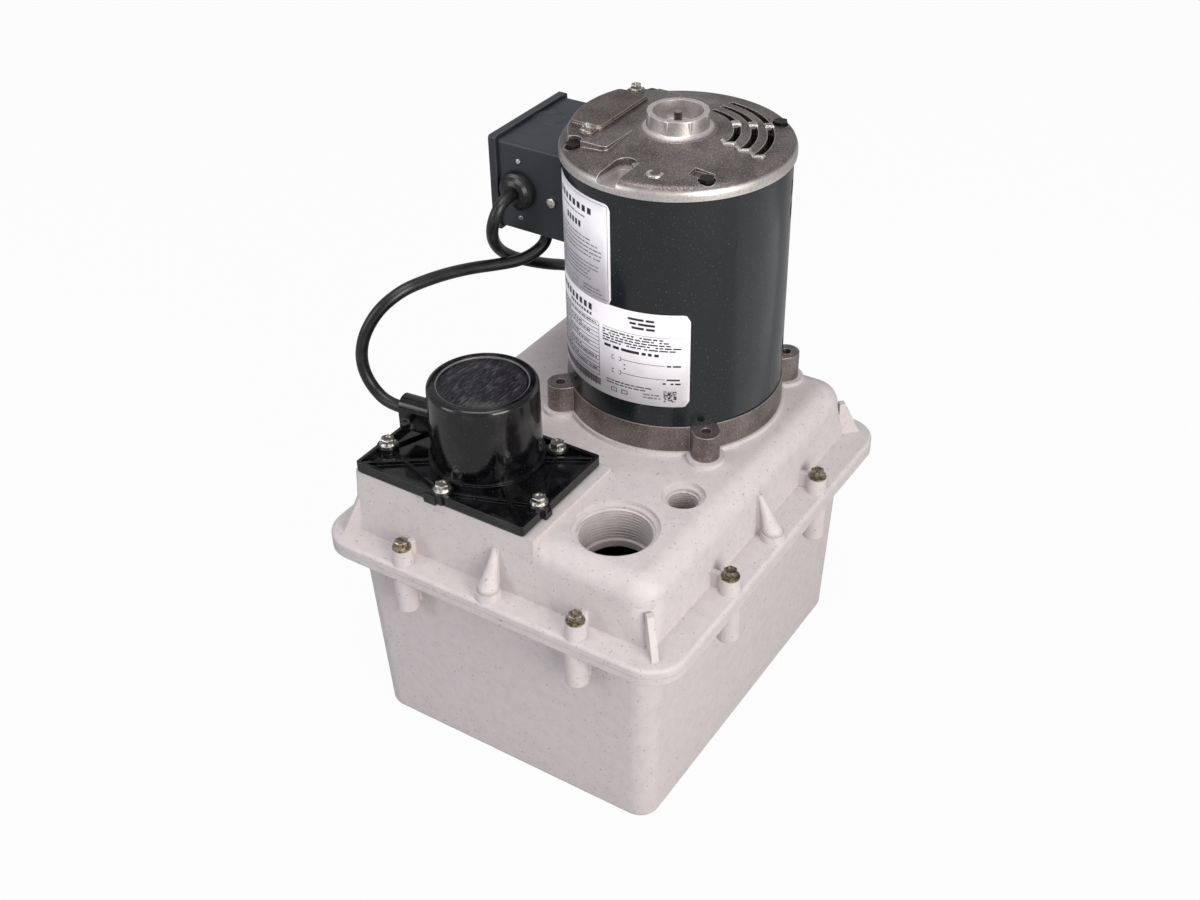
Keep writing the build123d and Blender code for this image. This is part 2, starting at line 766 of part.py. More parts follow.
def make_windings():
    low, high = stator_z()
    inner = rotor_r + air_gap + 2.0
    outer = stud_circle_r - stud_r - 3.0
    middle = (inner + outer) / 2
    ends = []
    for base, way in ((low, -1), (high, 1)):
        loop = turned([(inner + 2, base), (outer, base), (outer - 2, base + way * winding_h * 0.7),
                       (middle, base + way * winding_h), (inner, base + way * winding_h * 0.7)])
        ends.append(axis * loop)
    return group(ends)


def make_rotor():
    low, high = stator_z()
    body = drum(rotor_r, low, high)
    for base, way in ((low, -1), (high, 1)):
        z0, z1 = sorted((base, base + way * 8))
        body += tube(rotor_r - 3, rotor_r - 14, z0, z1)
    body -= drum(shaft_r + 3.5, low - 1, high + 1)
    return axis * body


def make_shaft():
    low, high = stator_z()
    neck = pad_z - 4
    bottom = impeller_z() - 8
    shaft = turned([(0, bottom), (4.9, bottom), (4.9, impeller_z()), (pump_shaft_r, impeller_z()),
                    (pump_shaft_r, neck), (shaft_r, neck),
                    (shaft_r, low), (shaft_r + 3.5, low), (shaft_r + 3.5, high), (shaft_r, high),
                    (shaft_r, dome_z - 0.5), (shaft_tip_r + 1.4, dome_z - 0.5),
                    (shaft_tip_r + 1.4, dome_z + 1.5), (shaft_tip_r, dome_z + 1.5),
                    (shaft_tip_r, hub_z - 0.8), (0, hub_z - 0.8)])
    return axis * shaft


def make_bearing(z0):
    ring = tube(bearing_r, shaft_r + shaft_fit, z0, z0 + bearing_t)
    for z in (z0 - 1, z0 + bearing_t - 0.8):
        ring -= tube(bearing_r - 2.5, shaft_r + 2.5, z, z + 1.8)
    return axis * ring


def make_fan():
    """Radial cooling fan clamped on the shaft above the rotor."""
    z0 = stator_z()[1] + winding_h + 4
    fan = tube(shaft_r + 4, shaft_r, z0, z0 + 12) + tube(fan_r, shaft_r, z0, z0 + 1.6)
    for k in range(fan_blades):
        blade = block(shaft_r + 8, fan_r - 1, -fan_blade_t / 2, fan_blade_t / 2, z0 + 0.8, z0 + 10)
        fan += Rotation(0, 0, 360 / fan_blades * k) * blade
    return axis * fan


def make_mount_bolts():
    """Hex bolts from under the lid into the motor's lugs."""
    bolts = []
    under = deck_z - hood_wall
    for angle in lug_angles:
        x, y = polar(lug_circle_r, angle)
        head = hex_head(10.0, 5.0, under - 1.6 - 5.0)
        body = head + drum(7.4, under - 1.6, under) + drum(lug_bore_r, under - 1.6, ring_z - 4)
        bolts.append(axis * at(x, y) * body)
    return group(bolts)


# ===================================================================== pump
def impeller_z():
    return scroll_z + scroll_wall + impeller_gap + impeller_vane_h


def foot_z():
    """Top face of the volute, where the column's foot stands."""
    return scroll_z + scroll_h


def make_column():
    low = foot_z()
    column = turned([(column_r - column_wall, low), (column_foot_r, low),
                     (column_foot_r, low + column_foot_t),
                     (column_foot_r - 11, low + column_foot_t), (column_r + 4, low + column_foot_t + 3),
                     (column_r, low + column_foot_t + 14),
                     (column_r, pad_z - column_flange_t - 12), (column_r + 3.5, pad_z - column_flange_t),
                     (column_flange_r, pad_z - column_flange_t), (column_flange_r, pad_z),
                     (column_r - column_wall, pad_z)])
    for k in range(3):
        window = block(0, column_r + 9, -column_window_w / 2, column_window_w / 2, 0, column_window_h)
        window = fillet(window.edges().filter_by(Axis.X), column_window_w / 2 - 0.5)
        column -= Rotation(0, 0, 120 * k + 30) * (at(0, 0, (low + pad_z - column_window_h) / 2) * window)
    for angle in lug_angles:
        x, y = polar(column_bolt_r, angle)
        column -= at(x, y) * drum(2.3, pad_z - column_flange_t - 1, pad_z + 1)
        x, y = polar(column_foot_r - 5, angle)
        column -= at(x, y) * drum(2.3, low - 1, low + column_foot_t + 1)
    return axis * column


def make_column_screws():
    screws = []
    for angle in lug_angles:
        x, y = polar(column_bolt_r, angle)
        z = pad_z - column_flange_t
        head = hex_head(7.0, 3.5, z - 3.5)
        screws.append(axis * at(x, y) * (head + drum(2.0, z - 1, pad_z + 4)))
    return group(screws)


def make_bushing():
    """Sleeve bushing that steadies the pump shaft in the volute's top."""
    low = foot_z() - scroll_wall
    sleeve = tube(column_r - column_wall, pump_shaft_r + shaft_fit, foot_z(), foot_z() + 16)
    return axis * (sleeve + tube(11.0, pump_shaft_r + shaft_fit, low, foot_z() + 1))


def make_shaft_seal():
    """Lip seal above the bushing."""
    z0 = foot_z() + 16
    return axis * (tube(column_r - column_wall, 13.0, z0, z0 + 7)
                   + tube(column_r - column_wall, pump_shaft_r + 0.08, z0, z0 + 2))


def make_volute():
    """Scroll casing with its tangential outlet and a socket for the pipe."""
    z0, z1 = scroll_z, foot_z()
    body = spiral_block(scroll_wall, z0, z1)
    post_x, post_y = outlet_x - motor_x, outlet_y - motor_y
    throat_y = scroll_r + scroll_gain / 2 - scroll_wall / 2
    heading = degrees(atan2(throat_y - post_y, -post_x))
    middle = (z0 + z1) / 2
    reach = hypot(post_x, throat_y - post_y)
    line = at(post_x, post_y, middle) * Rotation(0, 0, heading)
    body += line * (Rotation(0, 90, 0) * drum(nozzle_r, 0, reach))
    body += at(post_x, post_y) * drum(pipe_r + nozzle_wall, z0 + 1, z1 + 12)
    body -= spiral_block(0, z0 + scroll_wall, z1 - scroll_wall)
    body -= line * (Rotation(0, 90, 0) * drum(nozzle_r - nozzle_wall, 0, reach))
    body -= at(post_x, post_y) * drum(pipe_r - pipe_wall, z0 + 5, z1 + 14)
    body -= at(post_x, post_y) * drum(pipe_r, z1 + 2, z1 + 14)
    body -= drum(eye_r, z0 - 1, z0 + scroll_wall + 1)
    body -= drum(11.0, z1 - scroll_wall - 1, z1 + 1)
    for angle in lug_angles:
        x, y = polar(column_foot_r - 5, angle)
        body -= at(x, y) * drum(2.0, z1 - scroll_wall - 1, z1 + 1)
    return axis * body


def spiral_block(extra, z0, z1):
    """Extruded spiral, open at its widest end into the outlet."""
    points = []
    steps = 28
    for k in range(steps + 1):
        angle = 90 - 360 * k / steps
        radius = scroll_r + scroll_gain * (1 - k / steps) + extra
        points.append(polar(radius, angle))
    edge = Spline(*points)
    face = make_face(Wire([edge.edge(), Edge.make_line(points[-1] + (0,), points[0] + (0,))]))
    return at(0, 0, z0) * extrude(face, z1 - z0)


def make_impeller():
    """Open impeller: a disc with swept-back vanes under it."""
    top = impeller_z()
    body = drum(impeller_r, top, top + impeller_disc_t)
    body += drum(impeller_hub_r, top - impeller_vane_h * 0.5, top + impeller_disc_t + 3)
    for k in range(impeller_vanes):
        body += Rotation(0, 0, 360 / impeller_vanes * k) * vane(top)
    body -= drum(5.0, top - 20, top + eps)
    body -= drum(pump_shaft_r, top, top + 20)
    return axis * body


def vane(top):
    radius = impeller_r * 0.72
    centre = Pos(radius * 0.42, -radius * 0.86)
    arc = (Circle(radius + impeller_vane_t / 2) - Circle(radius - impeller_vane_t / 2))
    arc = centre * arc
    quarter = Pos(impeller_r / 2 + 2, impeller_r / 4) * Rectangle(impeller_r, impeller_r * 1.2)
    area = arc & (Circle(impeller_r - 0.5) - Circle(impeller_hub_r - 0.5)) & quarter
    return at(0, 0, top - impeller_vane_h) * extrude(area, impeller_vane_h + 0.5)


def make_impeller_nut():
    z = impeller_z() - impeller_vane_h * 0.5
    nut = hex_head(13.0, 4.5, z - 4.5)
    return axis * (nut - drum(4.9, z - 10, z + 1))


def make_strainer():
    """Slotted inlet basket under the volute, clear of the tank's floor."""
    z0, z1 = tank_floor + 1.5, scroll_z
    basket = tube(strainer_r, strainer_r - 2.4, z0, z1 - 2) + drum(strainer_r, z0, z0 + 2)
    basket += tube(strainer_r + 5, eye_r, z1 - 2.4, z1)
    for k in range(strainer_bars):
        gap = block(strainer_r - 6, strainer_r + 2, -strainer_bar_w / 2, strainer_bar_w / 2,
                    z0 + 2, z1 - 4.5)
        basket -= Rotation(0, 0, 360 / strainer_bars * k) * gap
    for angle in lug_angles:
        x, y = polar(strainer_r + 2.6, angle)
        basket -= at(x, y) * drum(1.5, z1 - 4, z1 + 1)
    return axis * basket


def make_pump_screws():
    """Screws of the column's foot; the heads stand on the foot."""
    screws = []
    for angle in lug_angles:
        x, y = polar(column_foot_r - 5, angle)
        z = foot_z() + column_foot_t
        screw = hex_head(7.0, 3.5, z) + drum(2.0, foot_z() - scroll_wall, z + 1)
        screws.append(axis * at(x, y) * screw)
    return group(screws)


def make_discharge_pipe():
    return at(outlet_x, outlet_y) * tube(pipe_r, pipe_r - pipe_wall, foot_z() + 2, pipe_top())


# ============================================================= float switch
def make_switch_gasket():
    area = Pos(plate_cx, plate_cy) * RectangleRounded(plate_x - 2, plate_y - 2, plate_corner_r)
    sheet = at(0, 0, seat_z) * extrude(area, plate_gasket_t)
    sheet -= at(cap_x, cap_y) * drum(seat_hole_r, seat_z - 1, plate_z + 1)
    for x, y in plate_screws:
        sheet -= at(plate_cx + x, plate_cy + y) * drum(plate_screw_r + screw_clear, seat_z - 1, plate_z + 1)
    return sheet


def plate_rib(start, end, z0, z1):
    """Upright rib on the plate between two points."""
    (x0, y0), (x1, y1) = start, end
    length = hypot(x1 - x0, y1 - y0)
    angle = Vector(x1 - x0, y1 - y0).get_signed_angle(Vector(1, 0), Vector(0, 0, -1))
    bar = block(0, length, -plate_rib_t / 2, plate_rib_t / 2, z0, z1)
    return at(x0, y0) * (Rotation(0, 0, angle) * bar)


def make_switch_plate():
    low, floor = plate_z, plate_z + plate_t
    top = floor + plate_rim_h
    place = Pos(plate_cx, plate_cy)
    outer = place * RectangleRounded(plate_x, plate_y, plate_corner_r)
    inner = place * Rectangle(plate_x - 2 * plate_rim_w, plate_y - 2 * plate_rim_w)
    plate = at(0, 0, low) * extrude(outer, plate_t)
    plate += at(0, 0, floor) * extrude(outer - inner, plate_rim_h)
    posts = [(plate_cx + x, plate_cy + y) for x, y in plate_screws]
    corners = [(plate_cx + a * (plate_x / 2 - 3), plate_cy + b * (plate_y / 2 - 3))
               for a, b in ((-1, -1), (1, -1), (1, 1), (-1, 1))]
    ribs = [plate_rib(posts[k], posts[(k + 1) % len(posts)], floor - 0.5, top - 1.4)
            for k in range(len(posts))]
    ribs += [plate_rib((cap_x, cap_y), corner, floor - 0.5, top - 1.0) for corner in corners]
    for rib in ribs:
        plate += rib
    for x, y in posts:
        plate += at(x, y) * drum(plate_boss_r, low, top)
    plate += edge_tabs(top)
    plate -= at(cap_x, cap_y) * drum(cap_foot_r, floor, top + 5)
    plate += at(cap_x, cap_y) * drum(guide_r, low - guide_len + plate_t, floor + 2)
    plate -= at(cap_x, cap_y) * drum(float_rod_r + float_fit, low - guide_len, floor + 5)
    for x, y in posts:
        plate -= at(x, y) * drum(plate_screw_r + screw_clear, low - 1, top + 1)
    return plate


def edge_tabs(top):
    """Split tab on the plate's front edge and a clip on its right edge."""
    front = plate_cy - plate_y / 2
    right = plate_cx + plate_x / 2
    x, y = plate_cx + plate_screws[1][0], plate_cy + plate_screws[2][1]
    tab = block(x - tab_w, x, front - tab_out, front + 1, plate_z - tab_drop, top - 1.2)
    tab += block(x + tab_split, x + tab_w * 0.5, front - tab_out * 0.6, front + 1, plate_z, top - 1.2)
    for side in (-1, 1):
        tab += block(right - 1, right + tab_out, y - clip_shift + side * clip_half - tab_t / 2,
                     y - clip_shift + side * clip_half + tab_t / 2, plate_z - tab_drop, top - 0.6)
    tab += block(right + tab_out - tab_t, right + tab_out, y - clip_shift - clip_half,
                 y - clip_shift + clip_half, plate_z - tab_drop, plate_z + plate_t)
    return tab


def make_switch_screws():
    screw = hex_washer_screw(plate_screw_r, plate_screw_af, plate_screw_head_h, plate_washer_r,
                             plate_washer_t, plate_screw_len + plate_rim_h)
    z = plate_z + plate_t + plate_rim_h
    return group([at(plate_cx + x, plate_cy + y, z) * screw for x, y in plate_screws])


def make_switch_cap():
    foot, top = cap_foot_z, cap_top
    edge = cap_edge_r
    body = turned([(cap_r - cap_wall, foot), (cap_foot_r, foot), (cap_foot_r, foot + cap_foot_h),
                   (cap_r + 0.6, foot + cap_foot_h), (cap_r, top), (0, top),
                   (0, top - cap_wall - cap_dish_depth),
                   (cap_r - cap_wall, top - cap_wall - cap_dish_depth)])
    rim = body.edges().group_by(Axis.Z)[-1]
    body = fillet(rim, edge)
    body -= drum(cap_dish_r, top - cap_dish_depth, top + 1)
    body += cap_nose() - drum(cap_r - cap_wall, foot - 1, top)
    reach = Rotation(0, 0, cap_nose_angle) * (at(cap_r - 6, 0, cap_nose_z) * (Rotation(0, 90, 0) * Cylinder(
        cord_d / 2 - 0.6, cap_nose_out - cap_r + 2, align=(Align.CENTER, Align.CENTER, Align.MIN))))
    body -= reach
    return at(cap_x, cap_y) * body


def cap_nose():
    """Boxy cable entry on the cap's side with a rounded top."""
    half = cap_nose_w / 2
    nose = block(cap_r - 5, cap_nose_out, -half, half,
                 cap_nose_z - cap_nose_h / 2, cap_nose_z + cap_nose_h / 2)
    nose = fillet(nose.edges().filter_by(Axis.X).group_by(Axis.Z)[-1], cap_nose_top_r)
    return Rotation(0, 0, cap_nose_angle) * nose


def make_float():
    ball = Sphere(float_r)
    body = at(cap_x, cap_y, float_z) * (ball - drum(float_rod_r, -float_r - 1, float_r + 1))
    return body


def lever_swing():
    """Half of the height that the lever's tip covers."""
    return float_travel / 2


def lever_half_angle():
    return degrees(atan(lever_swing() / lever_arm))


def stop_gap():
    """Half the space between the two collars that hold the lever."""
    slope = radians(lever_half_angle())
    return lever_t / 2 / cos(slope) + stop_r * tan(slope) + move_gap


def make_float_rod():
    tip = lever_z - lever_swing()
    rod = drum(float_rod_r, float_z - float_r - 6, tip + stop_gap() + stop_t + 3)
    for z in (tip + stop_gap(), tip - stop_gap() - stop_t):
        rod += drum(stop_r, z, z + stop_t)
    rod -= tube(float_r, float_rod_r, float_z - float_r - 8, float_z)
    return at(cap_x, cap_y) * rod


def make_float_nuts():
    nuts = []
    for z in (float_z - float_r - 4.0, float_z + float_r - 0.15):
        nuts.append(at(cap_x, cap_y) * (hex_head(9.0, 4.0, z) - drum(float_rod_r, z - 1, z + 5)))
    return group(nuts)


def make_lever():
    """Slotted lever that the rod's collars lift; drawn at its lowest."""
    slot = float_rod_r + move_gap
    far = lever_arm / cos(radians(lever_half_angle())) + slot + 2.5
    arm = block(-far, 0, -lever_w / 2, lever_w / 2, -lever_t / 2, lever_t / 2)
    arm += Rotation(90, 0, 0) * Cylinder(lever_hub_r, lever_w)
    mean = lever_arm * (1 + 1 / cos(radians(lever_half_angle()))) / 2
    play = slot + 1.8
    arm -= block(-mean - play, -mean + play, -slot, slot, -5, 5)
    arm -= Rotation(90, 0, 0) * Cylinder(lever_pin_r + lever_fit, lever_w + 2)
    down = Rotation(0, -lever_half_angle(), 0) * arm
    return at(cap_x + lever_arm, cap_y, lever_z) * down


def make_lever_pin():
    pin = Rotation(90, 0, 0) * Cylinder(lever_pin_r, lever_w + 2 * bracket_space())
    return at(cap_x + lever_arm, cap_y, lever_z) * pin


def bracket_space():
    return move_gap + 1.6


def make_switch_bracket():
    """Fork of folded plate that carries the lever's pin."""
    x = cap_x + lever_arm
    floor = plate_z + plate_t
    half = lever_w / 2 + bracket_space()
    body = block(x - 7, x + 4.5, cap_y - half, cap_y + half, floor, floor + 1.6)
    for side in (-1, 1):
        y = cap_y + side * (lever_w / 2 + move_gap)
        y0, y1 = sorted((y, y + side * 1.6))
        body += block(x - 4.5, x + 4.5, y0, y1, floor, lever_z + 5)
    body -= at(x, cap_y, lever_z) * (Rotation(90, 0, 0) * Cylinder(lever_pin_r, 4 * half))
    return body


def make_micro_switch():
    """Snap switch on the fork's side, with two blade terminals."""
    x = cap_x + lever_arm
    y0 = cap_y + lever_w / 2 + bracket_space()
    body = block(x - 14, x + 4, y0, y0 + 6.5, lever_z - 10, lever_z + 10)
    for dx in (-10, -3):
        body += block(x + dx - 2.2, x + dx + 2.2, y0 + 2.8, y0 + 3.6, lever_z + 9, lever_z + 17)
    return body


# ============================================================= junction box
def box_half():
    return box_y / 2


def shell_hollow(gap):
    return axis * drum(shell_r + gap, box_z0 - 20, box_z1 + 20)


def make_box_body():
    """Folded sheet box, open at its outer end and cut to the motor's round."""
    y0, y1 = motor_y - box_half(), motor_y + box_half()
    inner_end = motor_x - 0.55 * shell_r
    outer = block(box_outer_x, inner_end, y0, y1, box_z0, box_z1)
    outer = fillet(outer.edges().filter_by(Axis.X), 2.2)
    inside = block(box_outer_x - 1, inner_end + 1, y0 + box_sheet, y1 - box_sheet,
                   box_z0 + box_sheet, box_z1 - box_sheet)
    back = axis * tube(shell_r + box_shell_gap + box_sheet, shell_r + box_shell_gap, box_z0, box_z1)
    body = outer - inside
    body += back & outer
    body -= shell_hollow(box_shell_gap)
    body -= at(gland_x, y0, gland_z) * (Rotation(90, 0, 0) * Cylinder(gland_thread_r, 12))
    body -= at(bushing_x, bushing_y) * drum(bushing_r - 2, box_z0 - 1, box_z0 + 3)
    for x, z, radius in box_screw_spots():
        body -= at(x, y0, z) * (Rotation(90, 0, 0) * Cylinder(radius * 0.5, 12))
    return body


def make_box_cover():
    """Shallow pan pushed over the box's outer end."""
    y0, y1 = motor_y - box_half(), motor_y + box_half()
    grow = cover_fit + cover_sheet
    x0 = box_outer_x - cover_t
    pan = block(x0, x0 + cover_lip, y0 - grow, y1 + grow, box_z0 - grow, box_z1 + grow)
    pan = fillet(pan.edges().filter_by(Axis.X), 2.0)
    pan -= block(box_outer_x, x0 + cover_lip + 1, y0 - cover_fit, y1 + cover_fit,
                 box_z0 - cover_fit, box_z1 + cover_fit)
    return pan


def make_gland():
    """Moulded strain relief of the power cord, pointing to the front."""
    y0 = motor_y - box_half()
    body = turned([(cord_d / 2, 0), (gland_flange_r - 1, 0), (gland_flange_r, 1.5),
                   (gland_flange_r - 0.6, 4),
                   (gland_r, 4.8), (gland_r - 1.5, gland_out - 1), (cord_d / 2 + 2, gland_out),
                   (cord_d / 2, gland_out)])
    body += tube(gland_thread_r, cord_d / 2, -box_sheet - 5, 0)
    return at(gland_x, y0, gland_z) * (Rotation(90, 0, 0) * body)


def make_gland_nut():
    y0 = motor_y - box_half() + box_sheet
    nut = hex_head(24.0, 4.0, 0) - drum(gland_thread_r, -1, 5)
    return at(gland_x, y0, gland_z) * (Rotation(-90, 0, 0) * nut)


def make_box_bushing():
    """Snap bushing where the switch lead enters the box from below."""
    body = tube(bushing_r, cord_d / 2, -bushing_len, 0)
    body += tube(bushing_r - 2, cord_d / 2, -1, box_sheet + 2)
    return at(bushing_x, bushing_y, box_z0) * body


def box_screw_spots():
    """Place and head radius of the front's screw and its two rivets."""
    mouth_x = motor_x - (shell_r ** 2 - box_half() ** 2) ** 0.5
    rivet_x = box_outer_x + rivet_in
    return ((mouth_x - box_screw_out, (box_z0 + box_z1) / 2 - box_screw_drop, box_screw_r),
            (rivet_x, box_z1 - rivet_top, rivet_r), (rivet_x, box_z0 + rivet_low, rivet_r))


def make_box_screws():
    """One fixing screw and two rivets on the box's front."""
    y0 = motor_y - box_half()
    heads = []
    for x, z, radius in box_screw_spots():
        head = fillet(drum(radius, 0, radius * 0.6).edges().group_by(Axis.Z)[-1], radius * 0.3)
        screw = head + drum(radius * 0.5, -5, 0)
        heads.append(at(x, y0, z) * (Rotation(90, 0, 0) * screw))
    return group(heads)


# ==================================================================== cords
power_route = [(-76.6, 8.0, 344.0), (-76.6, 0.5, 344.0), (-77.5, -7.5, 338.5), (-81.0, -9.0, 326.5),
               (-87.0, -0.5, 312.0), (-91.0, 11.7, 298.5), (-91.2, 25.7, 287.1), (-88.0, 40.5, 278.0),
               (-84.5, 57.0, 269.0), (-84.5, 76.0, 259.5), (-88.5, 95.0, 247.0), (-91.5, 114.0, 231.0),
               (-91.0, 132.0, 211.0), (-87.0, 148.0, 185.0), (-81.0, 160.0, 153.0), (-76.0, 167.0, 116.0),
               (-73.0, 171.0, 77.0), (-73.3, 174.0, 46.0), (-75.5, 178.5, 29.5), (-79.2, 187.0, 16.0),
               (-83.6, 199.0, 7.4), (-86.1, 212.5, 4.1), (-86.25, 226.0, 4.0)]
switch_route = [(-99.775, -87.573, 228.5), (-111.7, -88.82, 228.5), (-124.0, -88.0, 235.0),
                (-130.5, -88.5, 247.0), (-131.5, -88.0, 261.0), (-128.0, -85.0, 276.0),
                (-120.5, -78.0, 291.0), (-112.0, -65.0, 300.0), (-106.5, -50.0, 301.0),
                (-100.5, -32.0, 300.0), (-93.5, -14.0, 297.5), (-85.5, 2.0, 294.5),
                (-77.5, 15.5, 293.5), (-72.0, 26.0, 296.5), (-68.0, 33.0, 303.0), (-68.0, 33.0, 311.0)]
tail_route = [(-30.0, 280.0, 20.0), (-16.5, 278.0, 19.5), (-2.0, 271.5, 18.0), (11.0, 261.0, 15.0),
              (21.5, 247.0, 12.0), (28.5, 231.0, 10.0), (31.0, 216.0, 10.0)]


def corner_radii(points):
    """Largest tangent arc at each corner: 0.45 of the shorter run."""
    radii = []
    for a, b, c in zip(points, points[1:], points[2:]):
        first, second = Vector(*b) - Vector(*a), Vector(*c) - Vector(*b)
        turn = radians(first.get_angle(second))
        radii.append(0.45 * min(first.length, second.length) / tan(turn / 2))
    return radii


def cord_tube(name, points):
    radii = corner_radii(points)
    print(name, "bend radii", [round(radius, 1) for radius in radii])
    path = FilletPolyline(*points, radius=radii)
    start = Vector(*points[1]) - Vector(*points[0])
    section = Plane(origin=points[0], z_dir=start) * Circle(cord_d / 2)
    cord = sweep(section, path=path)
    print(name, "length", round(path.length, 1))
    return cord


def make_coil():
    ring = turned([(coil_r - coil_half_w, 0), (coil_r + coil_half_w, 0), (coil_r + coil_half_w, coil_h),
                   (coil_r - coil_half_w, coil_h)])
    return at(coil_x, coil_y) * ring


def plug_place():
    """The plug lies flat and carries on the line of the tail's last run."""
    (x0, y0, z0), (x1, y1, z1) = tail_route[-2:]
    heading = degrees(atan2(y1 - y0, x1 - x0))
    return at(x1, y1, z1) * Rotation(0, 0, heading)


def make_plug():
    """Moulded plug: ribbed strain relief, waist and head."""
    relief = loft([(Plane.YZ * Circle(cord_d / 2 + 1.0)).face(),
                   (Plane.YZ.offset(plug_relief) * Circle(cord_d / 2 + 3.0)).face()])
    waist = Plane.YZ.offset(plug_relief) * RectangleRounded(plug_w * 0.6, plug_t * 0.75, 5.0)
    head = Plane.YZ.offset(plug_relief + plug_len * 0.5) * RectangleRounded(plug_w, plug_t, 6.0)
    body = relief + loft([waist.face(), head.face()]) + extrude(head, plug_len * 0.5)
    for x, y, radius in plug_pin_spots():
        body -= at(0, x, y) * (Rotation(0, 90, 0) * drum(radius, plug_relief + plug_len - 6, 200))
    return plug_place() * body


def plug_pin_spots():
    """Across, up and round-hole radius of each pin's socket."""
    return ((-6.35, 2.5, 3.3), (6.35, 2.5, 3.3), (0.0, -5.5, 2.4))


def make_plug_pins():
    face = plug_relief + plug_len
    pins = []
    for x, y, radius in plug_pin_spots():
        if x:
            blade = block(face - 6, face + 16, x - 0.75, x + 0.75, y - 3.2, y + 3.2)
        else:
            blade = at(0, x, y) * (Rotation(0, 90, 0) * drum(radius, face - 6, face + 18))
        pins.append(plug_place() * blade)
    return group(pins)


parts = {
    "tank": make_tank, "lid": make_lid, "lid_screws": make_lid_screws,
    "tank_gasket": lambda: gasket_ring(gasket_clear, tank_height - gasket_depth, tank_height),
    "motor_base_bell": make_base_bell, "motor_top_bell": make_top_bell, "motor_shell": make_motor_shell,
    "motor_through_bolts": make_through_bolts, "motor_mount_bolts": make_mount_bolts,
    "terminal_cover": make_terminal_cover, "terminal_cover_screws": make_terminal_screws,
    "stator_core": make_stator, "stator_windings": make_windings, "rotor": make_rotor,
    "motor_shaft": make_shaft, "cooling_fan": make_fan,
    "lower_bearing": lambda: make_bearing(pad_z + 6.0),
    "upper_bearing": lambda: make_bearing(dome_z - dome_t - bearing_t),
    "pump_column": make_column, "column_screws": make_column_screws, "shaft_bushing": make_bushing,
    "shaft_seal": make_shaft_seal, "volute": make_volute, "volute_screws": make_pump_screws,
    "impeller": make_impeller, "impeller_nut": make_impeller_nut, "strainer": make_strainer,
    "discharge_pipe": make_discharge_pipe,
    "switch_gasket": make_switch_gasket, "switch_plate": make_switch_plate,
    "switch_screws": make_switch_screws, "switch_cap": make_switch_cap, "float_ball": make_float,
    "float_rod": make_float_rod, "float_nuts": make_float_nuts, "switch_lever": make_lever,
    "lever_pin": make_lever_pin, "switch_bracket": make_switch_bracket, "micro_switch": make_micro_switch,
    "box_body": make_box_body, "box_cover": make_box_cover, "box_screws": make_box_screws,
    "power_gland": make_gland, "power_gland_nut": make_gland_nut, "box_bushing": make_box_bushing,
    "power_cord": lambda: cord_tube("power_cord", power_route) - make_coil(),
    "switch_cable": lambda: cord_tube("switch_cable", switch_route),
    "power_cord_coil": make_coil,
    "power_cord_tail": lambda: cord_tube("power_cord_tail", tail_route) - make_coil(),
    "plug": make_plug, "plug_pins": make_plug_pins,
}
for node_name, maker in parts.items():
    save(node_name, maker())
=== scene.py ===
"""Dresses a packed condensate pump: finishes, small castings, threads, labels, cords and a plain studio."""

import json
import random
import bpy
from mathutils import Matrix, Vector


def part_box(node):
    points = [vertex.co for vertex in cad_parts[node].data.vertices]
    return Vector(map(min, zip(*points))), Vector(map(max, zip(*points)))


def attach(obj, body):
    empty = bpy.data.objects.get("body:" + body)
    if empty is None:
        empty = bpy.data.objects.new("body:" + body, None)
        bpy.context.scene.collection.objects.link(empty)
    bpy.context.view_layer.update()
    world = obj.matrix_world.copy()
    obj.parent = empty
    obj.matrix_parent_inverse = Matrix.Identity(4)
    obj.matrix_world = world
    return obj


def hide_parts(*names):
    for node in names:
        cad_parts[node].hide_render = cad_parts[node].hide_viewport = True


bl_info = {
    "name": "Condensate Pump Dressing",
    "version": (1, 0, 0),
    "blender": (4, 5, 0),
    "location": "View3D > Sidebar > Pump",
    "description": "Gives the packed pump its finishes, small castings, threads, labels, cords and studio",
    "category": "Object",
}

from math import cos, degrees, pi, radians, sin

import bmesh
import bpy
from bpy.props import FloatProperty, FloatVectorProperty, IntProperty, PointerProperty
from mathutils import Matrix, Vector

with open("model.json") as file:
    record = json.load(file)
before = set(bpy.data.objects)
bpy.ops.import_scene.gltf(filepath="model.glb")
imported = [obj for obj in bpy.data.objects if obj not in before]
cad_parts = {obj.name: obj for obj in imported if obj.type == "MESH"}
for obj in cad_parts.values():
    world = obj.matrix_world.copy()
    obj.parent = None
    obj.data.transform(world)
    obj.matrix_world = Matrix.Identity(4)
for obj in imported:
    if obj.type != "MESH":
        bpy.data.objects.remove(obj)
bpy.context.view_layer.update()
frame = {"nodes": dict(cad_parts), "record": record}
nodes = frame["nodes"]

MM = 0.001
MAIN_BODY = "pump_body"
SEEN_FLOOR = 0.96               # how white the floor is to the camera
MIRRORED_FLOOR = 0.1            # how much of the white floor gloss picks up
MIRRORED_SKY = 0.3              # how much of the white room gloss picks up


# ------------------------------------------------------------------ measures
def middle(node):
    low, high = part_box(node)
    return (low + high) / 2


def top_of(node):
    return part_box(node)[1].z


def mount(name):
    found = [m for m in frame["record"]["mounts"] if m["name"] == name][0]
    return Vector(found["pos_m"]), found["dims"]["r_mm"] * MM


